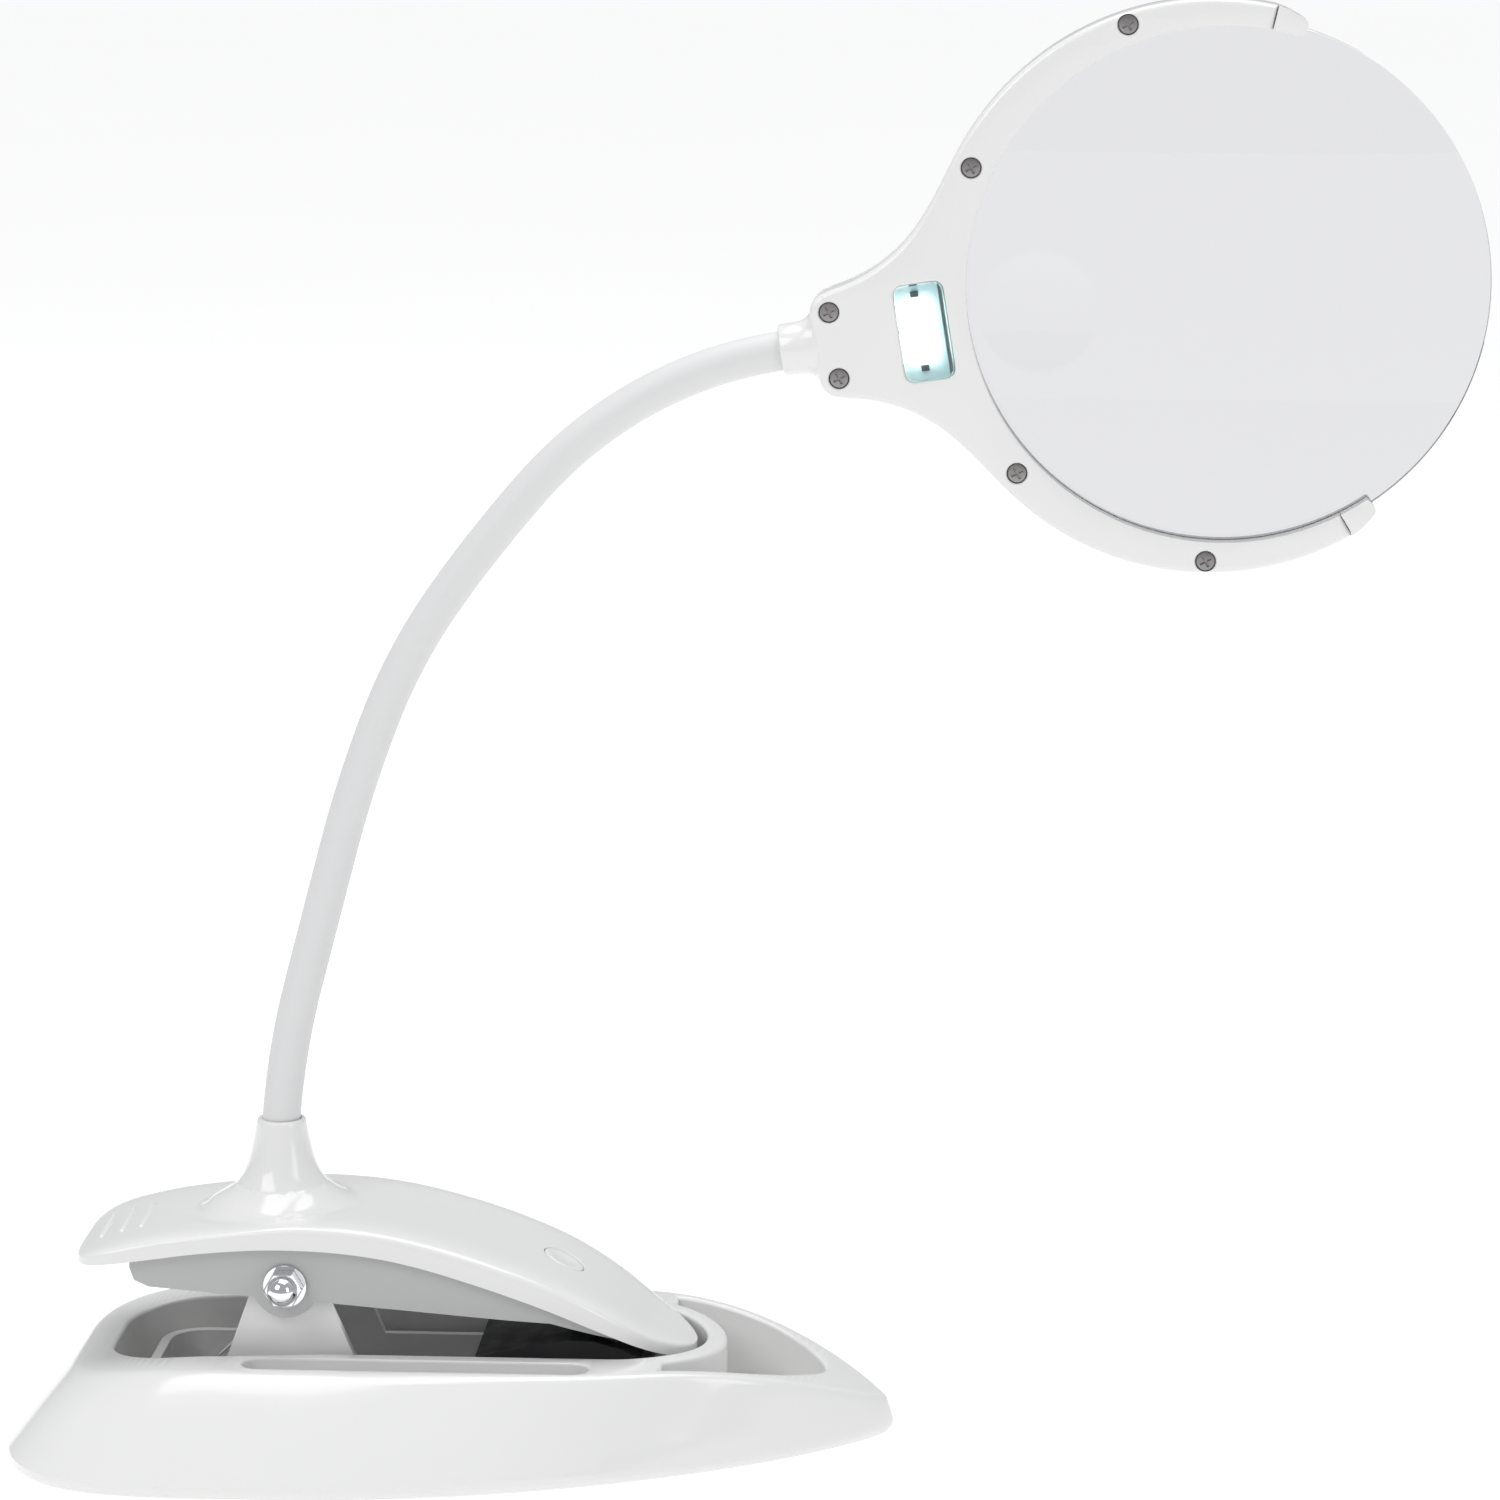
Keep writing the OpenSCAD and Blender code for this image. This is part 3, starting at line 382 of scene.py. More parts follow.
def rim_half(x, inset):
    """Half the width of the base's rim at x."""
    h, rear, nose = RIM_W / 2 - inset, RIM_REAR + inset, RIM_NOSE - inset
    if x < BASE_MID:
        return h * power((BASE_MID - x) / (BASE_MID - rear), 4, 0.25)
    return h if x < RIM_BEND else h * power((x - RIM_BEND) / (nose - RIM_BEND), 2.4, 0.85)


def top_z(x):
    """Height of the base's top at x, which falls towards the nose and the rear."""
    return BASE_H - 0.0051 * max(0, x - 40) ** 2 - 0.0033 * max(0, -45 - x) ** 2


def level_loop(share, inset, low, rise, drop):
    """Loop round the base at a share of the way from its foot to its rim, and a share of its height."""
    side = []
    for s in STATIONS:
        ax, aw = foot_point(s, inset)
        bx = along(s, RIM_REAR + inset, RIM_NOSE - inset)
        bw = rim_half(bx, inset)
        side.append((ax + (bx - ax) * share, aw + (bw - aw) * share, low + rise * (top_z(bx) - drop - low)))
    return [(x, -w, z) for x, w, z in side] + [(x, w, z) for x, w, z in reversed(side[1:-1])]


POCKET_WIDE, POCKET_R, POCKET_TIP_X = 21.9, 19.3, 33.5
POCKET_BEND_X, POCKET_NARROW_X = -46.0, -26.0


def pocket_outline(g):
    """Pocket for the clip, grown by g: wide round the ears, narrow round the jaw's tip."""
    wide, r = POCKET_WIDE, POCKET_R
    bend = (POCKET_BEND_X, wide + g)
    run = POCKET_NARROW_X - POCKET_BEND_X
    reach = math.hypot(run, wide + g)
    turn = math.degrees(math.atan2(wide + g, -run)) - math.degrees(math.acos((r + g) / reach))
    side = [(-72.0 - g, y) for y in (0.0, 2.3, 4.6)] + arc(-57, wide - 15, 15 + g, 180, 90, 16)
    meet = POCKET_NARROW_X + (r + g) * math.tan(math.radians((90 - turn) / 2))
    side += [bend, (meet, r + g)] + [(x, r + g) for x in (-12, 0, 12, 24)]
    side += arc(POCKET_TIP_X, 0, r + g, 90, 0, 30)
    return side + [(x, -y) for x, y in reversed(side[1:-1])]


def tray_outline(g, side):
    r, y = 3.7 + g, side * 26.9
    return arc(-38.3, y, r, 90, 270, 20) + arc(26.3, y, r, -90, 90, 20)


NOSE_TRAY_X, NOSE_END, NOSE_ROUND = 45.0, 77.75, 23.6


def nose_outline(g):
    """Crescent round the outside of the pocket's end, grown by g."""
    start, end = NOSE_TRAY_X - g, NOSE_END + g
    r = NOSE_ROUND - g
    edge = []
    for j in range(29):
        x = start + (end - start) * (1 - (1 - j / 28) ** 1.6)
        w = rim_half(min(x, RIM_NOSE - 0.5), 3.2 - g)
        edge.append((x, w * power(max(0, (x - NOSE_TRAY_X) / (end - NOSE_TRAY_X)), 5, 0.5)))
    meet = math.degrees(math.acos((start - POCKET_TIP_X) / r))
    inner = arc(POCKET_TIP_X, 0, r, meet, 0, 16)
    side = list(reversed(inner)) + edge
    return side + [(x, -y) for x, y in reversed(side[1:-1])]


def tray_tool(name, outline, floor, rim=0.9, toe=0.8):
    """A cutter whose foot is rounded and whose top flares, so that the rim it leaves is rounded."""
    loops = []
    for a in (90, 60, 30, 0):
        g = toe * (math.cos(math.radians(a)) - 1)
        loops.append([(x, y, floor + toe * (1 - math.sin(math.radians(a)))) for x, y in outline(g)])
    loops.sort(key=lambda loop: loop[0][2])
    for a in (0, 22, 45, 67, 90):
        g = rim * (1 - math.cos(math.radians(a)))
        d = rim * (1 - math.sin(math.radians(a)))
        loops.append([(x, y, top_z(x) - d) for x, y in outline(g)])
    loops.append([(x, y, top_z(x) + 3) for x, y in outline(rim)])
    return rings(name, loops)


WELL_TOP = 40


def well(name, outline, grow, floor):
    """What the cavity leaves standing round a tray or the pocket."""
    return rings(name, [[(x, y, z) for x, y in outline(grow)] for z in (floor, WELL_TOP)])


POCKET_FLOOR, TRAY_FLOOR = 4.4, 9.0


def build_base():
    caps = mirror_caps(2 * (len(STATIONS) - 1))
    outside = [(0, 3.5, 0, 0, 0), (0, 2.4, 0.06, 0, 0), (0, 1.3, 0.42, 0, 0), (0, 0.5, 1.15, 0, 0),
               (0, 0.12, 2.1, 0, 0), (0, 0, 3.2, 0, 0), (0.25, 0, 3.2, 0.272, 0), (0.5, 0, 3.2, 0.53, 0),
               (0.72, 0, 3.2, 0.75, 0), (0.89, 0, 3.2, 0.912, 0), (0.94, 0.05, 3.2, 0.955, 0),
               (0.972, 0.3, 3.2, 0.981, 0), (0.99, 0.75, 3.2, 0.995, 0), (1, 1.4, 3.2, 1, 0)]
    inside = [(0, 6, -1, 0, 0), (0, 6, 2.6, 0, 0), (0.06, WALL + 1, 4.6, 0, 0),
              (0.5, WALL + 0.4, 4.6, 0.5, WALL), (1, WALL + 0.6, 4.6, 1, WALL)]
    shell = rings("base_shell_body", [level_loop(*lv) for lv in outside], caps)
    cavity = rings("cavity", [level_loop(*lv) for lv in inside], caps)
    boolean(cavity, well("pocket_well", pocket_outline, 2.2, 2.8))
    boolean(cavity, well("nose_well", nose_outline, 1.8, 2.8))
    for side in (-1, 1):
        boolean(cavity, well("tray_well", lambda g: tray_outline(g, side), 1.8, 6.8))
    boolean(shell, cavity)
    boolean(shell, tray_tool("pocket", pocket_outline, POCKET_FLOOR))
    boolean(shell, tray_tool("nose", nose_outline, POCKET_FLOOR))
    for side in (-1, 1):
        boolean(shell, tray_tool("tray", lambda g: tray_outline(g, side), TRAY_FLOOR, 0.55, 1.6))
    shade(shell, 28)
    paint(shell, WHITE_ABS)
    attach(shell, "base")
    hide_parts("base_shell")


# ---------------------------------------------------------------- upper jaw with its boss
JAW_REAR, JAW_TIP, JAW_W, JAW_WALL = -78.8, 50.8, 44.0, 1.8
CREST = [(-78.8, 40.6), (-75, 42.3), (-69.7, 44), (-61, 46.1), (-47, 48), (-33, 49.5), (-22.7, 49.3),
         (-12, 48), (-1.5, 45.6), (9, 42.4), (21.7, 37.4), (30.2, 32.9), (36.5, 28.8), (41.8, 25), (47, 22),
         (50.8, 19.8)]
HEM = [(-78.8, 39.2), (-66, 41), (-51, 43.1), (-36.5, 44.1), (-22, 43.6), (-9.4, 41.7), (5.2, 37.6),
       (19.7, 32.4), (32, 26.6), (40, 22.4), (46, 19.6), (50.8, 18)]
FLARE = [(5.15, 66.4), (5.4, 65.0), (5.7, 63.2), (6.3, 60.4), (7, 57.8), (8, 55.4), (9.3, 53.3), (11, 51.7),
         (13.2, 50.3), (15, 49.2), (17, 47.6), (19, 45.4), (21, 42.5), (24, 37.0)]
BOSS_X, BOSS_TOP, LEAN = -37.0, 66.8, 5.0
BOSS_SEAM, BOSS_REACH = 9.3, 23
BUTTON_X, BUTTON_TILT, BUTTON_D = 22.7, 27.0, 9.0


def jaw_half(x):
    """Half the width of the upper jaw at x."""
    if x < -60:
        return JAW_W / 2 * power((-60 - x) / (-60 - JAW_REAR), 5, 0.2)
    return JAW_W / 2 * (1 if x < 5 else power((x - 5) / (JAW_TIP - 5), 2.6, 0.5))


def jaw_loop(x, wall, drop, boss):
    """Cross-section of the upper jaw at x, smaller by the wall, with or without the foot of the boss."""
    half = max(0.5, jaw_half(x) - wall)
    foot = curve_at(HEM, x) + 0.9
    rise = max(0.4, curve_at(CREST, x) - wall - foot)
    square = 6.5 if boss else 4.0
    corner = [(math.cos(math.radians(a)) ** (2 / square), math.sin(math.radians(a)) ** (2 / square))
              for a in (0, 0.3, 1.2, 3, 6, 10, 15, 21, 27, 33, 39, 45, 52, 59)]
    count = 40
    across = [corner[-1][0] * (1 - 2 * i / count) for i in range(1, count)]
    section = corner + [(u, (1 - abs(u)**square) ** (1 / square)) for u in across]
    section += [(-u, v) for u, v in reversed(corner)]
    loop = [(x, -half, foot - 0.9 - drop), (x, -half, foot - 0.45 - drop / 2)]
    for u, v in section:
        y, z = -half * u, foot + rise * v
        r = math.hypot(x - BOSS_X, y)
        if boss and r < BOSS_REACH:
            lift = curve_at(FLARE, max(r, BOSS_SEAM)) - 0.12 * max(0, BOSS_SEAM - r)
            blend = min(1.0, max(0.0, 0.5 + 0.5 * (lift - z) / 1.6))
            z = z + (lift - z) * blend + 0.4 * 1.6 * blend * (1 - blend) if r > BOSS_SEAM else max(z, lift)
        loop.append((x, y, z))
    return loop + [(x, half, foot - 0.45 - drop / 2), (x, half, foot - 0.9 - drop)]


def on_button(x, y, z):
    """The scene's point for one in the button's tilted axes, from just above the jaw's crest."""
    dx, dz = tilted(x, z, BUTTON_TILT)
    return BUTTON_X + dx, y, curve_at(CREST, BUTTON_X) + 0.05 + dz


def on_boss(x, y, z):
    """The scene's point for one in the leaning axes of the neck's socket, from the top of the boss."""
    dx, dz = tilted(x, z, LEAN)
    return BOSS_X + dx, y, BOSS_TOP + dz


def turned(name, profile, steps, place):
    """A solid of revolution: profile is (radius, height) from foot to top, both ends closed."""
    return rings(name, [[place(r * math.cos(a), r * math.sin(a), z) for a in round_angles(steps)]
                        for r, z in profile])


def build_upper_jaw():
    xs = [-78.75, -78.6, -78.3, -77.8, -77, -76, -74.8, -73.4, -72, -70, -68, -66, -63.5]
    xs += [-61 + i for i in range(49)] + [-11 + 2 * i for i in range(9)]
    xs += [9 + 3 * i for i in range(10)]
    xs += [38.5, 41, 43, 45, 46.5, 47.8, 48.8, 49.6, 50.2, 50.55, 50.75]
    jaw = rings("upper_jaw_body", [jaw_loop(x, 0, 0, True) for x in xs])
    hollow_xs = [-77, -75.5, -73.5, -71, -66] + [-60 + 4 * i for i in range(17)] + [10, 15, 20, 25, 30, 36]
    boolean(jaw, rings("hollow", [jaw_loop(x, JAW_WALL, 6, False) for x in hollow_xs]))
    radii = [BOSS_SEAM + 1.2, BOSS_SEAM + 0.5, BOSS_SEAM, 8.8, 8.4, 8, 7.6, 7.3, 7, 6.7]
    radii += [6.5, 6.3, 6.1, 5.9, 5.7, 5.55, 5.4, 5.25, 5.15]
    profile = [(BOSS_SEAM + 1.2, 48.5)]
    for r in radii:
        sink = 0.5 * max(0.0, r - BOSS_SEAM)
        profile.append((r, curve_at(FLARE, r) - sink))
    profile += [(5.03, 66.62), (4.85, 66.76), (4.6, BOSS_TOP)]
    boss = turned("boss", profile, 72, lambda x, y, z: (BOSS_X + x, y, z))
    boolean(jaw, boss, "UNION")
    boolean(jaw, turned("socket", [(4.06, -9), (4.06, -0.25), (4.3, 0.3), (4.3, 4)], 64, on_boss))
    hole = BUTTON_D / 2 + 0.22
    boolean(jaw, turned("button_hole", [(hole, -5), (hole, -0.35), (hole + 0.12, -0.12), (hole + 0.45, 0.15),
                                        (hole + 0.45, 4)], 64, on_button))
    ribs = []
    rib_end = [(0.75, 8.4), (0.66, 8.9), (0.4, 9.25), (0.05, 9.4)]
    rib = [(r, -y) for r, y in reversed(rib_end)] + rib_end
    for x in (-74.2, -70, -65.8):
        z = curve_at(CREST, x) - 0.42
        ribs.append(turned("rib", rib, 24, lambda a, b, h: (x + a, h, z + b)))
    join(jaw, *ribs)
    shade(jaw, 28)
    paint(jaw, WHITE_ABS)
    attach(jaw, "clip_upper")
    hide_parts("upper_jaw")


def build_button():
    r = BUTTON_D / 2
    stem = [(1.5, -2.4), (1.5, -2)]
    rim = [(r - 0.1, -2), (r, -1.9), (r, -0.45), (r - 0.06, -0.25), (r - 0.2, -0.1), (r - 0.45, -0.03)]
    dish = [(r - 1.2, -0.06), (r - 2.4, -0.16), (0.4, -0.24)]
    cap = turned("power_button_cap", stem + rim + dish, 64, on_button)
    shade(cap, 35)
    paint(cap, WHITE_ABS)
    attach(cap, "button")
    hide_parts("power_button")


# ---------------------------------------------------------------- gooseneck sleeve
BENDS = [10, 0, 6.5, 14, 6, 19.5, 20]
LINK, NECK_R = 29.6, 4.0
STEPS = 16
SOCKET_DEPTH, HEAD_GRIP = 8.6, 5.8


def neck_path():
    """Points along the resting centre line, with their headings in degrees from upright."""
    x, z, h = BOSS_X, BOSS_TOP, LEAN
    path = [(x, z, h)]
    for bend in BENDS:
        for _ in range(STEPS):
            step, turn = LINK / STEPS, bend / STEPS
            mid = math.radians(h + turn / 2)
            chord = step if turn == 0 else 2 * (step / math.radians(turn)) * math.sin(math.radians(turn / 2))
            x, z, h = x + chord * math.sin(mid), z + chord * math.cos(mid), h + turn
            path.append((x, z, h))
    return path


def neck_loop(x, z, h):
    """Circle round the centre line at one point of the path."""
    r, h = NECK_R, math.radians(h)
    return [(x + r * math.cos(a) * math.cos(h), r * math.sin(a), z - r * math.cos(a) * math.sin(h))
            for a in round_angles(40)]


def further(point, distance):
    """The path's point moved straight on along its heading, or back."""
    x, z, h = point
    return x + distance * math.sin(math.radians(h)), z + distance * math.cos(math.radians(h)), h


def build_neck():
    """Eight runs of sleeve. The middle six go from mid-link to mid-link across a hinge, curved to the resting
    path and baked in place.
    """
    path = neck_path()
    bodies = ["clip_upper", "neck_2", "neck_3", "neck_4", "neck_5", "neck_6", "head"]
    cuts = [0] + [STEPS // 2 + STEPS * k for k in range(7)] + [len(path) - 1]
    for i in range(8):
        stretch = path[cuts[i]:cuts[i + 1] + 1]
        if i == 0:
            stretch = [further(stretch[0], -SOCKET_DEPTH)] + stretch
        if i == 7:
            stretch = stretch + [further(stretch[-1], HEAD_GRIP)]
        piece = rings(f"neck_sleeve_run_{i + 1}", [neck_loop(*p) for p in stretch])
        shade(piece, 40)
        paint(piece, SLEEVE)
        if i in (0, 7):
            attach(piece, bodies[0 if i == 0 else 6])
        else:
            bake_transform(piece)
        if i < 7:
            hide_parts(f"neck_sleeve_{i + 1}")
    return path[-1]


neck_end = build_neck()


# ---------------------------------------------------------------- head
HEAD_H = math.radians(90 - neck_end[2])
STEM = 90.7
LENS_AT = (neck_end[0] + STEM * math.sin(math.radians(neck_end[2])),
           neck_end[1] + STEM * math.cos(math.radians(neck_end[2])))
LENS_R, HALF_T = 53.7, 5.5
RIM_IN, RIM_OUT, RIM_SHIFT = LENS_R - 1.6, LENS_R + 4.3, 2.9
SHOULDER_X, SHOULDER_Y, FLANK_R = -LENS_R - 30, 10.8, 33.0
ARM_END, TIP_END = 68.5, 61.5
SCREWS = [(-LENS_R - 26, 6.8), (-LENS_R + 6.8, 31.3), (-11.7, LENS_R + 1.1)]
WINDOW_X, WINDOW_W, WINDOW_H, WINDOW_R = -LENS_R - 7.5, 10.2, 19.9, 2.0


def on_head(x, y, z):
    """The scene's point for one in the head's own axes: x away from the neck, z out of the lit side."""
    return (LENS_AT[0] + x * math.cos(HEAD_H) - y * math.sin(HEAD_H), -z,
            LENS_AT[1] + x * math.sin(HEAD_H) + y * math.cos(HEAD_H))


def ease(start, leave, finish, arrive, steps):
    """Smooth curve between two points with those headings in degrees, ends left out."""
    span = math.dist(start, finish)
    a = [span * f(math.radians(leave)) for f in (math.cos, math.sin)]
    b = [span * f(math.radians(arrive)) for f in (math.cos, math.sin)]
    curve = []
    for i in range(1, steps):
        t = i / steps
        weights = (2 * t**3 - 3 * t**2 + 1, t**3 - 2 * t**2 + t, -2 * t**3 + 3 * t**2, t**3 - t**2)
        curve.append(tuple(sum(w * p[k] for w, p in zip(weights, (start, a, finish, b))) for k in (0, 1)))
    return curve


FLANK_END, RIM_START, TIP_TAPER = -42, 143, 1.5


def frame_side(end):
    """Outer edge of the frame on its +y side, from the stem to the given angle."""
    corner = arc(SHOULDER_X + 4.2, SHOULDER_Y - 4.2, 4.2, 180, 95, 10)
    flank = arc(SHOULDER_X, SHOULDER_Y + FLANK_R, FLANK_R, -81, FLANK_END, 14)
    rim_end = max(end, ARM_END)
    rim = arc(-RIM_SHIFT, 0, RIM_OUT, RIM_START, rim_end, int((RIM_START - rim_end) / 2.5))
    side = corner + flank + ease(flank[-1], 90 + FLANK_END, rim[0], RIM_START - 90, 9) + rim
    return side + (tapered_edge(ARM_END)[1:] if end < ARM_END else [])


def tapered_edge(start):
    """Outer edge of an arm's tip, drawn in towards the lens."""
    edge = []
    for i in range(4):
        a = start + (TIP_END - start) * i / 3
        share = max(0.0, (ARM_END - a) / (ARM_END - TIP_END))
        edge += arc(-RIM_SHIFT, 0, RIM_OUT - TIP_TAPER * share ** 1.4, a, a, 1)[:1]
    return edge


def ring_end(angle):
    """Where a ray of that angle from the frame's centre meets the inner edge, as an angle about the lens."""
    a = math.radians(angle)
    b = RIM_SHIFT * math.cos(a)
    t = b + math.sqrt(b * b - RIM_SHIFT**2 + RIM_IN**2)
    return math.degrees(math.atan2(t * math.sin(a), t * math.cos(a) - RIM_SHIFT))


OUTER_CORNER, INNER_CORNER = 1.4, 0.8


def frame_outline(end):
    """The C-shaped frame, with its arms ending at that angle."""
    side = frame_side(end)
    inner = arc(0, 0, RIM_IN, ring_end(end), 360 - ring_end(end), 84)
    if end == TIP_END:
        near = fillet(side[-1], inner[0], inner[1], INNER_CORNER)
        side = side[:-1] + fillet(side[-2], side[-1], inner[0], OUTER_CORNER)
        inner = near + inner[1:-1] + [(x, -y) for x, y in reversed(near)]
    return side + inner + [(x, -y) for x, y in reversed(side)]


def fillet(before, corner, after, r):
    """Points that round a corner between two neighbours with a radius of about r."""
    steps = 6
    a = [(before[k] - corner[k]) / math.dist(before, corner) for k in (0, 1)]
    b = [(after[k] - corner[k]) / math.dist(after, corner) for k in (0, 1)]
    half = math.acos(max(-1.0, min(1.0, a[0] * b[0] + a[1] * b[1]))) / 2
    reach = r / math.tan(half)
    start = [corner[k] + a[k] * reach for k in (0, 1)]
    finish = [corner[k] + b[k] * reach for k in (0, 1)]
    points = []
    for i in range(steps + 1):
        t = i / steps
        weights = ((1 - t) ** 2, 2 * t * (1 - t), t * t)
        points.append(tuple(sum(w * p[k] for w, p in zip(weights, (start, corner, finish))) for k in (0, 1)))
    return points


def prism(name, outline, z0, z1):
    """An outline in the head's own axes, raised from z0 to z1."""
    return rings(name, [[on_head(x, y, z) for x, y in outline] for z in (z0, z1)])


def head_local(p):
    """The reverse of on_head: a point of the scene in the head's own axes."""
    dx, dz = p[0] - LENS_AT[0], p[2] - LENS_AT[1]
    return dx * math.cos(HEAD_H) + dz * math.sin(HEAD_H), dz * math.cos(HEAD_H) - dx * math.sin(HEAD_H), -p[1]


def frame_rounding(level):
    """Tests for the head frame's outer and inner edges at that height in the head's own axes."""
    def in_plane(a, b):
        return all(abs(head_local(p)[2] - level) < 0.01 for p in (a, b))

    def from_lens(p):
        x, y, _ = head_local(p)
        return math.hypot(x, y)

    def outer(a, b):
        return in_plane(a, b) and max(from_lens(a), from_lens(b)) > RIM_IN + 0.3

    def inner(a, b):
        return in_plane(a, b) and max(from_lens(a), from_lens(b)) <= RIM_IN + 0.3

    return outer, inner


def window_loop(gap):
    """The light window's outline, smaller by the gap all round."""
    w, h = WINDOW_W / 2 - gap, WINDOW_H / 2 - gap
    r = max(0.3, WINDOW_R - gap)
    return (arc(WINDOW_X + w - r, h - r, r, 0, 90, 8) + arc(WINDOW_X - w + r, h - r, r, 90, 180, 8)
            + arc(WINDOW_X - w + r, -h + r, r, 180, 270, 8) + arc(WINDOW_X + w - r, -h + r, r, 270, 360, 8))


def stem_collar(name, front):
    """Half of the collar that grips the neck, flared sideways into the shoulders."""
    loops = []
    for x, r, wide in ((0, 4.5, 4.5), (0, 5.0, 5.0), (0.15, 5.25, 5.25), (0.5, 5.4, 5.4), (3.4, 5.4, 5.4),
                       (4.6, 5.4, 5.5), (5.5, 5.4, 5.8), (6.2, 5.4, 6.25), (6.7, 5.4, 6.85), (7.05, 5.4, 7.6),
                       (7.6, 5.4, 8.0), (11, 5.4, 8.0)):
        loops.append([(x - STEM, wide * math.sin(a), r * math.cos(a)) for a in round_angles(48)])
    collar = rings(name, [[on_head(*p) for p in loop] for loop in loops])
    low, high = (-20, 0) if front else (0, 20)
    cut = [(-150, -20), (150, -20), (150, 20), (-150, 20)]
    boolean(collar, prism("half", cut, low, high))
    return collar


def disc_tool(name, x, y, profile):
    """A piece turned about an axis square to the head."""
    return turned(name, profile, 48, lambda a, b, z: on_head(x + a, y + b, z))


def build_head():
    front = prism("head_front_shell", frame_outline(ARM_END), 0, HALF_T)
    outer, inner = frame_rounding(HALF_T)
    round_edges(front, outer, 1.3, 4)
    round_edges(front, inner, 0.5, 3)
    boolean(front, stem_collar("front_collar", True), "UNION")
    back = prism("head_back_shell", frame_outline(TIP_END), -HALF_T, 0)
    outer, inner = frame_rounding(-HALF_T)
    round_edges(back, outer, 1.3, 4)
    round_edges(back, inner, 0.5, 3)
    boolean(back, stem_collar("back_collar", False), "UNION")
    tips = []
    for side in (-1, 1):
        seam = ARM_END - 0.16
        over = tapered_edge(seam)
        under = list(reversed(arc(0, 0, RIM_IN, ring_end(seam), ring_end(TIP_END), 4)))
        edge = over[:-1] + fillet(over[-2], over[-1], under[0], OUTER_CORNER)
        edge += fillet(over[-1], under[0], under[1], INNER_CORNER) + under[1:]
        tip = prism("arm_tip", [(x, side * y) for x, y in edge], -0.6, HALF_T)
        outer, inner = frame_rounding(HALF_T)
        round_edges(tip, outer, 0.9, 4)
        round_edges(tip, inner, 0.4, 3)
        tips.append(tip)
    slot = [(LENS_R + 0.2, -1.45), (LENS_R + 0.2, 1.45)]
    for shell in (front, back, *tips):
        boolean(shell, turned("lens_slot", slot, 180, on_head))
    for shell in (front, back):
        bore = NECK_R + 0.05
        boolean(shell, rings("neck_bore", [[on_head(x, bore * math.sin(a), bore * math.cos(a))
                                            for a in round_angles(48)] for x in (-STEM - 2, -STEM + 6.1)]))
    loops = [[on_head(x, y, z) for x, y in window_loop(g)] for g, z in
             ((0, -1), (0, HALF_T - 0.5), (-0.12, HALF_T - 0.2), (-0.45, HALF_T + 0.05), (-0.45, HALF_T + 3))]
    boolean(front, rings("window_hole", loops))
    room = [(WINDOW_X - 6.2, -11.5), (WINDOW_X + 5.6, -11.5), (WINDOW_X + 5.6, 11.5), (WINDOW_X - 6.2, 11.5)]
    boolean(front, prism("light_room", room, -1, HALF_T - 1.6))
    boolean(back, prism("light_room", room, -HALF_T + 1.6, 1))
    recess = [(0.9, -1), (0.9, HALF_T - 1.8), (2.1, HALF_T - 1.5), (2.12, HALF_T - 0.35),
              (2.35, HALF_T + 0.06), (2.35, HALF_T + 3)]
    for x, y in SCREWS:
        for side in (-1, 1):
            boolean(front, disc_tool("countersink", x, side * y, recess))
    join(back, *tips)
    for shell, node in ((front, "head_front"), (back, "head_back")):
        shade(shell, 28)
        paint(shell, WHITE_ABS)
        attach(shell, "head")
        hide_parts(node)


def lens_face(r):
    """Height of the lens face above its middle plane at that radius."""
    return 1.2 + 1.8 * (1 - (r / LENS_R) ** 2)


def build_lens():
    radii = [0.4] + [LENS_R * j / 60 for j in range(1, 59)] + [LENS_R - 0.5, LENS_R - 0.15]
    profile = [(r, -lens_face(r)) for r in radii] + [(LENS_R, -1.05), (LENS_R, 1.05)]
    profile += [(r, lens_face(r)) for r in reversed(radii)]
    lens = turned("lens_disc", profile, 160, on_head)
    x, r = -LENS_R + 15.9, 12.2

    def on_back_face(a, b, z):
        return on_head(x + a, b, -lens_face(math.hypot(x + a, b)) - z)

    bulge = [(r, -0.9)]
    for t in (1.0, 0.97, 0.92, 0.85, 0.75, 0.63, 0.5, 0.37, 0.25, 0.12, 0.03):
        bulge.append((r * t, 0.34 * (1 - t**2)))
    boolean(lens, turned("lens_spot", bulge, 96, on_back_face), "UNION")
    shade(lens, 20)
    paint(lens, LENS)
    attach(lens, "head")
    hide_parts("lens")


def build_light():
    loops = [[on_head(x, y, z) for x, y in window_loop(g)] for g, z in
             ((0.35, HALF_T - 1.3), (0.12, HALF_T - 1.15), (0.12, HALF_T - 0.35), (0.35, HALF_T - 0.12))]
    glass = rings("led_window_pane", loops)
    shade(glass, 25)
    paint(glass, WINDOW)
    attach(glass, "head")
    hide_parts("led_window")
    x = WINDOW_X - 1
    for i, side in enumerate((-1, 1)):
        chip = [(x + a, side * 3.5 + b) for a, b in ((-2.6, -2.8), (2.6, -2.8), (2.6, 2.8), (-2.6, 2.8))]
        led = prism(f"led_chip_{i + 1}", chip, 1.4, 3.0)
        round_edges(led, lambda a, b: True, 0.2, 2)
        shade(led, 30)
        paint(led, LED)
        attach(led, "head")
        if i == 0:
            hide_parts("leds")


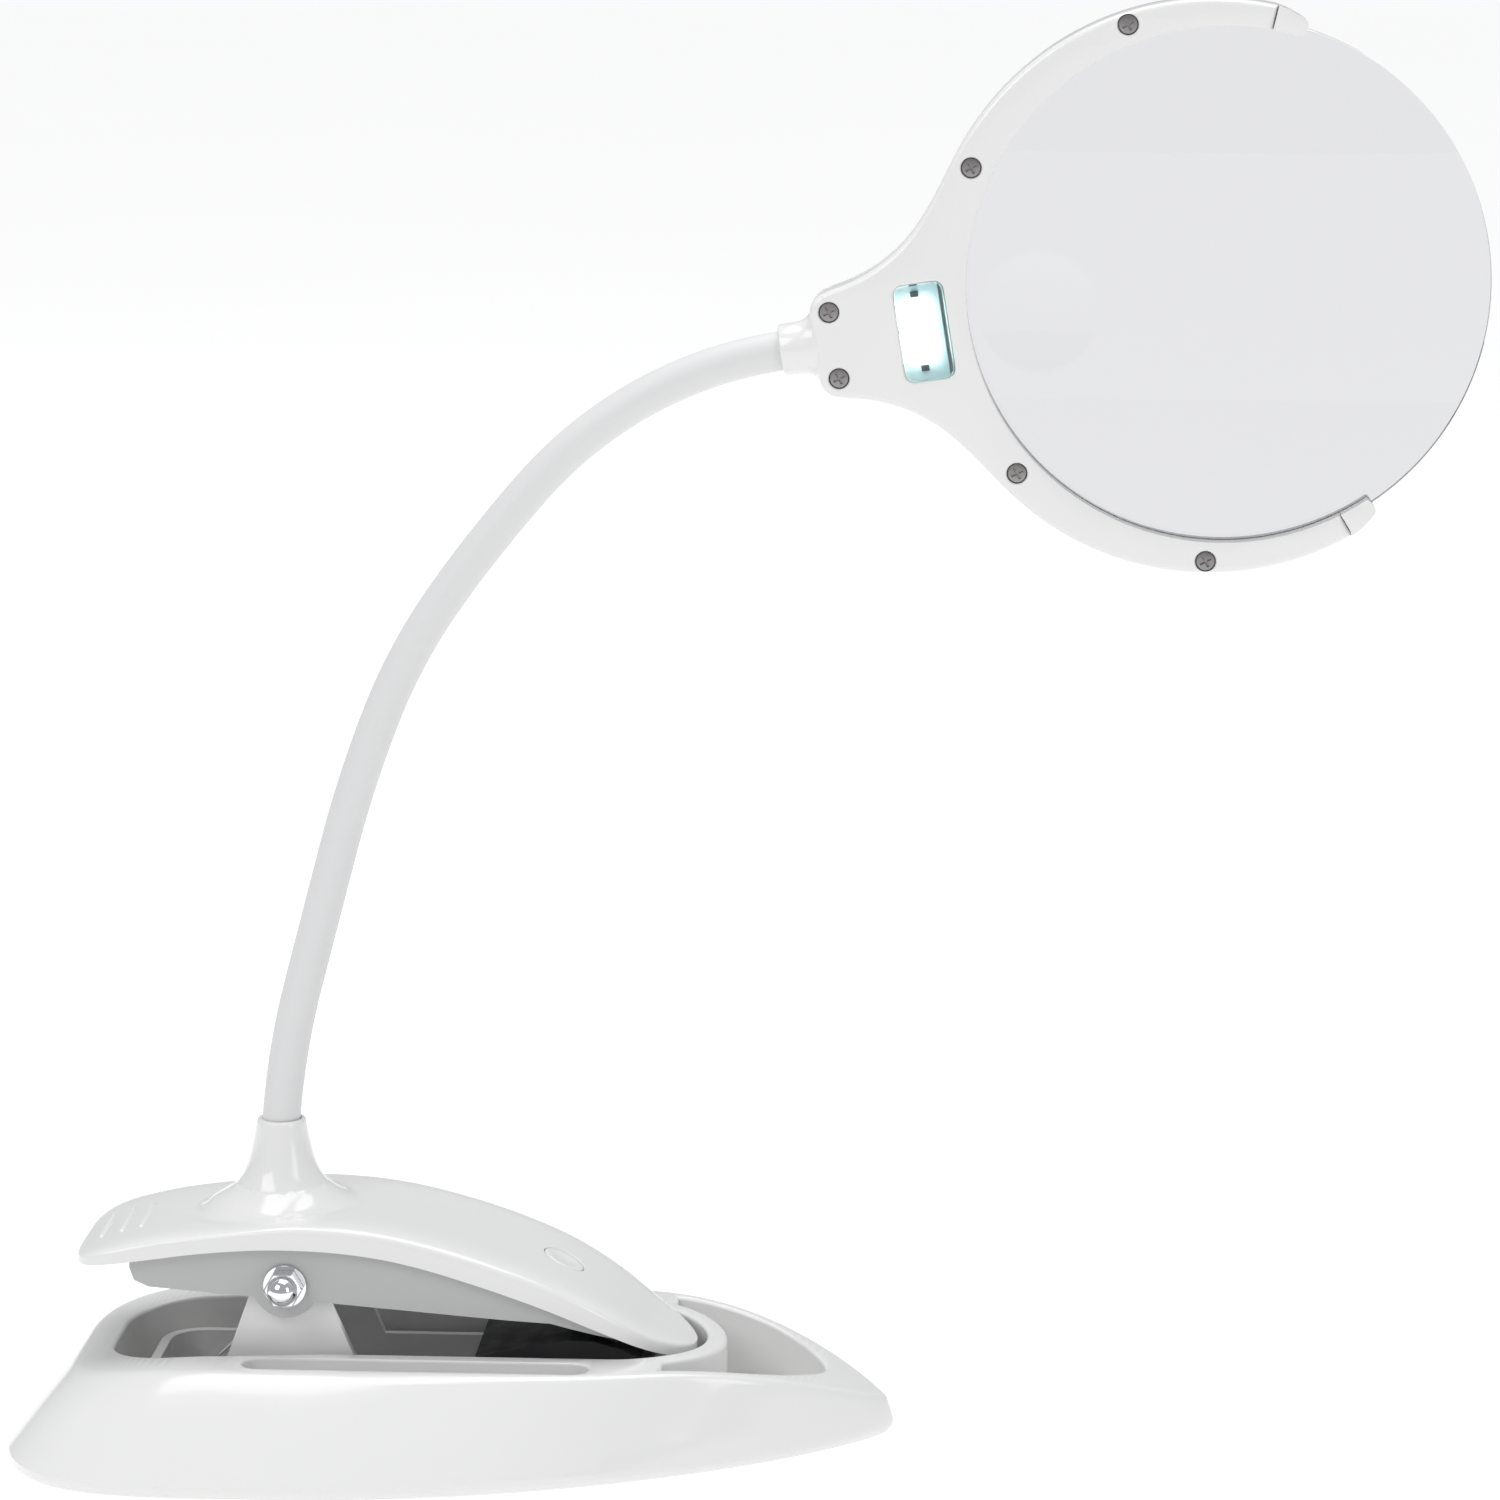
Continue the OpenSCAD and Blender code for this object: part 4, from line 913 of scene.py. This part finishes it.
def build_head_screws():
    number = 0
    for x, y in SCREWS:
        for side in (-1, 1):
            number += 1
            screw = disc_tool(f"head_screw_{number}", x, side * y, [
                (0.8, -HALF_T + 1.8), (0.8, HALF_T - 1.6), (1.9, HALF_T - 1.5), (1.95, HALF_T - 1.4),
                (1.95, HALF_T - 0.55), (1.8, HALF_T - 0.38), (1.4, HALF_T - 0.3), (0.3, HALF_T - 0.28)])
            for turn in (20, 110):
                c, s = math.cos(math.radians(turn)), math.sin(math.radians(turn))
                arm = [(x + c * a - s * b, side * y + s * a + c * b) for a, b in
                       ((-1.25, -0.25), (1.25, -0.25), (1.25, 0.25), (-1.25, 0.25))]
                boolean(screw, prism("cross", arm, HALF_T - 1.0, HALF_T + 1))
            shade(screw, 30)
            paint(screw, SCREW)
            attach(screw, "head")
            if number == 1:
                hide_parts("head_screws")


# ---------------------------------------------------------------- clip hardware
PIVOT_X, PIVOT_Z = -33.8, 36.0


def on_pivot(y0):
    """Gives the placing for a piece turned about the pivot, which grows from y0 towards the near side."""
    return lambda a, b, h: (PIVOT_X + a, y0 - h, PIVOT_Z + b)


def build_acorn_nut():
    nut_y, flats = -20.8, 7.0
    r = flats / math.cos(math.radians(30)) / 2
    corners = [(r * 0.93, 0), (r, 0.28), (r, 3.0), (r * 0.93, 3.2)]
    hexagon = turned("acorn_nut_body", corners, 6, on_pivot(nut_y))
    crown = [(3.2 * math.cos(math.radians(a)), 3.25 + 3.3 * math.sin(math.radians(a)))
             for a in (8, 16, 24, 32, 40, 48, 56, 64, 72, 80, 87)]
    dome = turned("dome", [(3.3, 2.6), (3.25, 3.25)] + crown, 48, on_pivot(nut_y))
    boolean(hexagon, dome, "UNION")
    shade(hexagon, 25)
    paint(hexagon, CHROME)
    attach(hexagon, "clip_lower")
    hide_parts("acorn_nut")


def wire(name, points):
    """Round wire along points in millimetres."""
    data = bpy.data.curves.new(name, "CURVE")
    data.dimensions = "3D"
    spline = data.splines.new("POLY")
    spline.points.add(len(points) - 1)
    for p, q in zip(spline.points, points):
        p.co = (q[0] * MM, q[1] * MM, q[2] * MM, 1)
    data.bevel_depth = WIRE_R * MM
    data.bevel_resolution = 4
    data.use_fill_caps = True
    obj = bpy.data.objects.new(name, data)
    bpy.context.collection.objects.link(obj)
    pick(obj)
    bpy.ops.object.convert(target="MESH")
    obj = bpy.context.object
    outward(obj)
    shade(obj, 40)
    paint(obj, WIRE)
    return obj


COIL_R, WIRE_R = 5, 0.69


def turn_point(a, y):
    """A point on the spring's coil, at that angle round the pivot."""
    return (PIVOT_X + COIL_R * math.cos(math.radians(a)), y, PIVOT_Z + COIL_R * math.sin(math.radians(a)))


def build_spring():
    """Two legs on the lower jaw, and the bridge between the inner turns on the upper jaw."""
    pitch, outer, inner = 1.6, 11.6, 11.6 - 3.2 - 1.4 - 0.5
    for side, name in ((-1, "spring_leg_near"), (1, "spring_leg_far")):
        start = turn_point(-46, side * outer)
        c, s = math.cos(math.radians(44)), math.sin(math.radians(44))
        points = [(start[0] - c * k, start[1], start[2] - s * k) for k in (34, 17, 4)]
        points += [turn_point(-46 + a, side * (outer - pitch * a / 360)) for a in range(0, 701, 10)]
        leg = wire(name, points)
        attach(leg, "clip_lower")
        if side < 0:
            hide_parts("spring_legs")
    half = [(84 - a, inner - pitch * (520 - a) / 360) for a in range(520, -1, -10)]
    c, s = math.cos(math.radians(6)), math.sin(math.radians(6))
    base = turn_point(84, 0)
    out = [(base[0] - c * k, base[2] + s * k) for k in (21, 22.6, 23.2)]
    left = [turn_point(a, -y) for a, y in half]
    right = [turn_point(a, y) for a, y in half]
    y0 = half[-1][1]
    steps = ((0, -y0), (1, -y0 * 0.6), (2, 0), (1, y0 * 0.6), (0, y0))
    across = [(out[k][0], y, out[k][1]) for k, y in steps]
    bridge = wire("spring_bridge_wire", left + across + right[::-1])
    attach(bridge, "clip_upper")
    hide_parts("spring_bridge")


build_base()
build_upper_jaw()
build_button()
build_head()
build_lens()
build_light()
build_head_screws()
build_acorn_nut()
build_spring()

# ---------------------------------------------------------------- carried-over parts
FINISH = {
    "base_plate": PLATE, "base_weight": ZINC, "base_screws": SCREW, "sole_pad": RUBBER,
    "lower_jaw": WHITE_ABS, "lower_pad": RUBBER, "pivot_bolt": CHROME, "pivot_washers": CHROME,
    "inner_cover": COVER_ABS_WITH_PAINTED_SHADE, "upper_pad": RUBBER, "cell_door": COVER_ABS_WITH_PAINTED_SHADE, "door_screw": SCREW,
    "coin_cells": CELL, "cell_contacts": BRASS, "circuit_board": BOARD, "tact_switch": BLACK,
    "cover_screws": SCREW, "neck_nut": ZINC, "jaw_lead": LEAD,
    "led_board": LED_BOARD, "resistors": BLACK, "head_lead": LEAD,
}
for number in range(1, 8):
    FINISH[f"neck_core_{number}"] = CORE
    FINISH[f"neck_lead_{number}"] = LEAD
for node, material in FINISH.items():
    paint(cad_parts[node], material)

# ---------------------------------------------------------------- floor, backdrop and lights
bpy.ops.mesh.primitive_plane_add(size=40, location=(0, 0, -0.0002))
floor = bpy.context.object
floor.name = "floor"
paper = Nodes("floor_paper")
paper.link(paper.ramp(paper.noise(3, 2), (0.45, 0.45, 0.45), (0.46, 0.46, 0.46)), "Base Color")
paper.set(Roughness=0.7, Emission_Color=(1, 1, 1, 1), Emission_Strength=0.72)
paint(floor, paper.material)

world = bpy.data.worlds.new("studio")
bpy.context.scene.world = world
world.use_nodes = True
world.node_tree.nodes["Background"].inputs["Color"].default_value = (0.96, 0.97, 1.0, 1)
world.node_tree.nodes["Background"].inputs["Strength"].default_value = 0.46
soft_light("key", (-0.9, -1.0, 1.2), (0.03, 0, 0.05), (0.9, 0.9), 8)
soft_light("fill", (1.3, -1.0, 0.7), (0.03, 0, 0.05), (0.5, 0.9), 3.5)
soft_light("top", (0.1, 0.2, 1.5), (0.03, 0, 0.05), (1.2, 1.0), 13.5)
bpy.context.scene.view_settings.view_transform = "Standard"
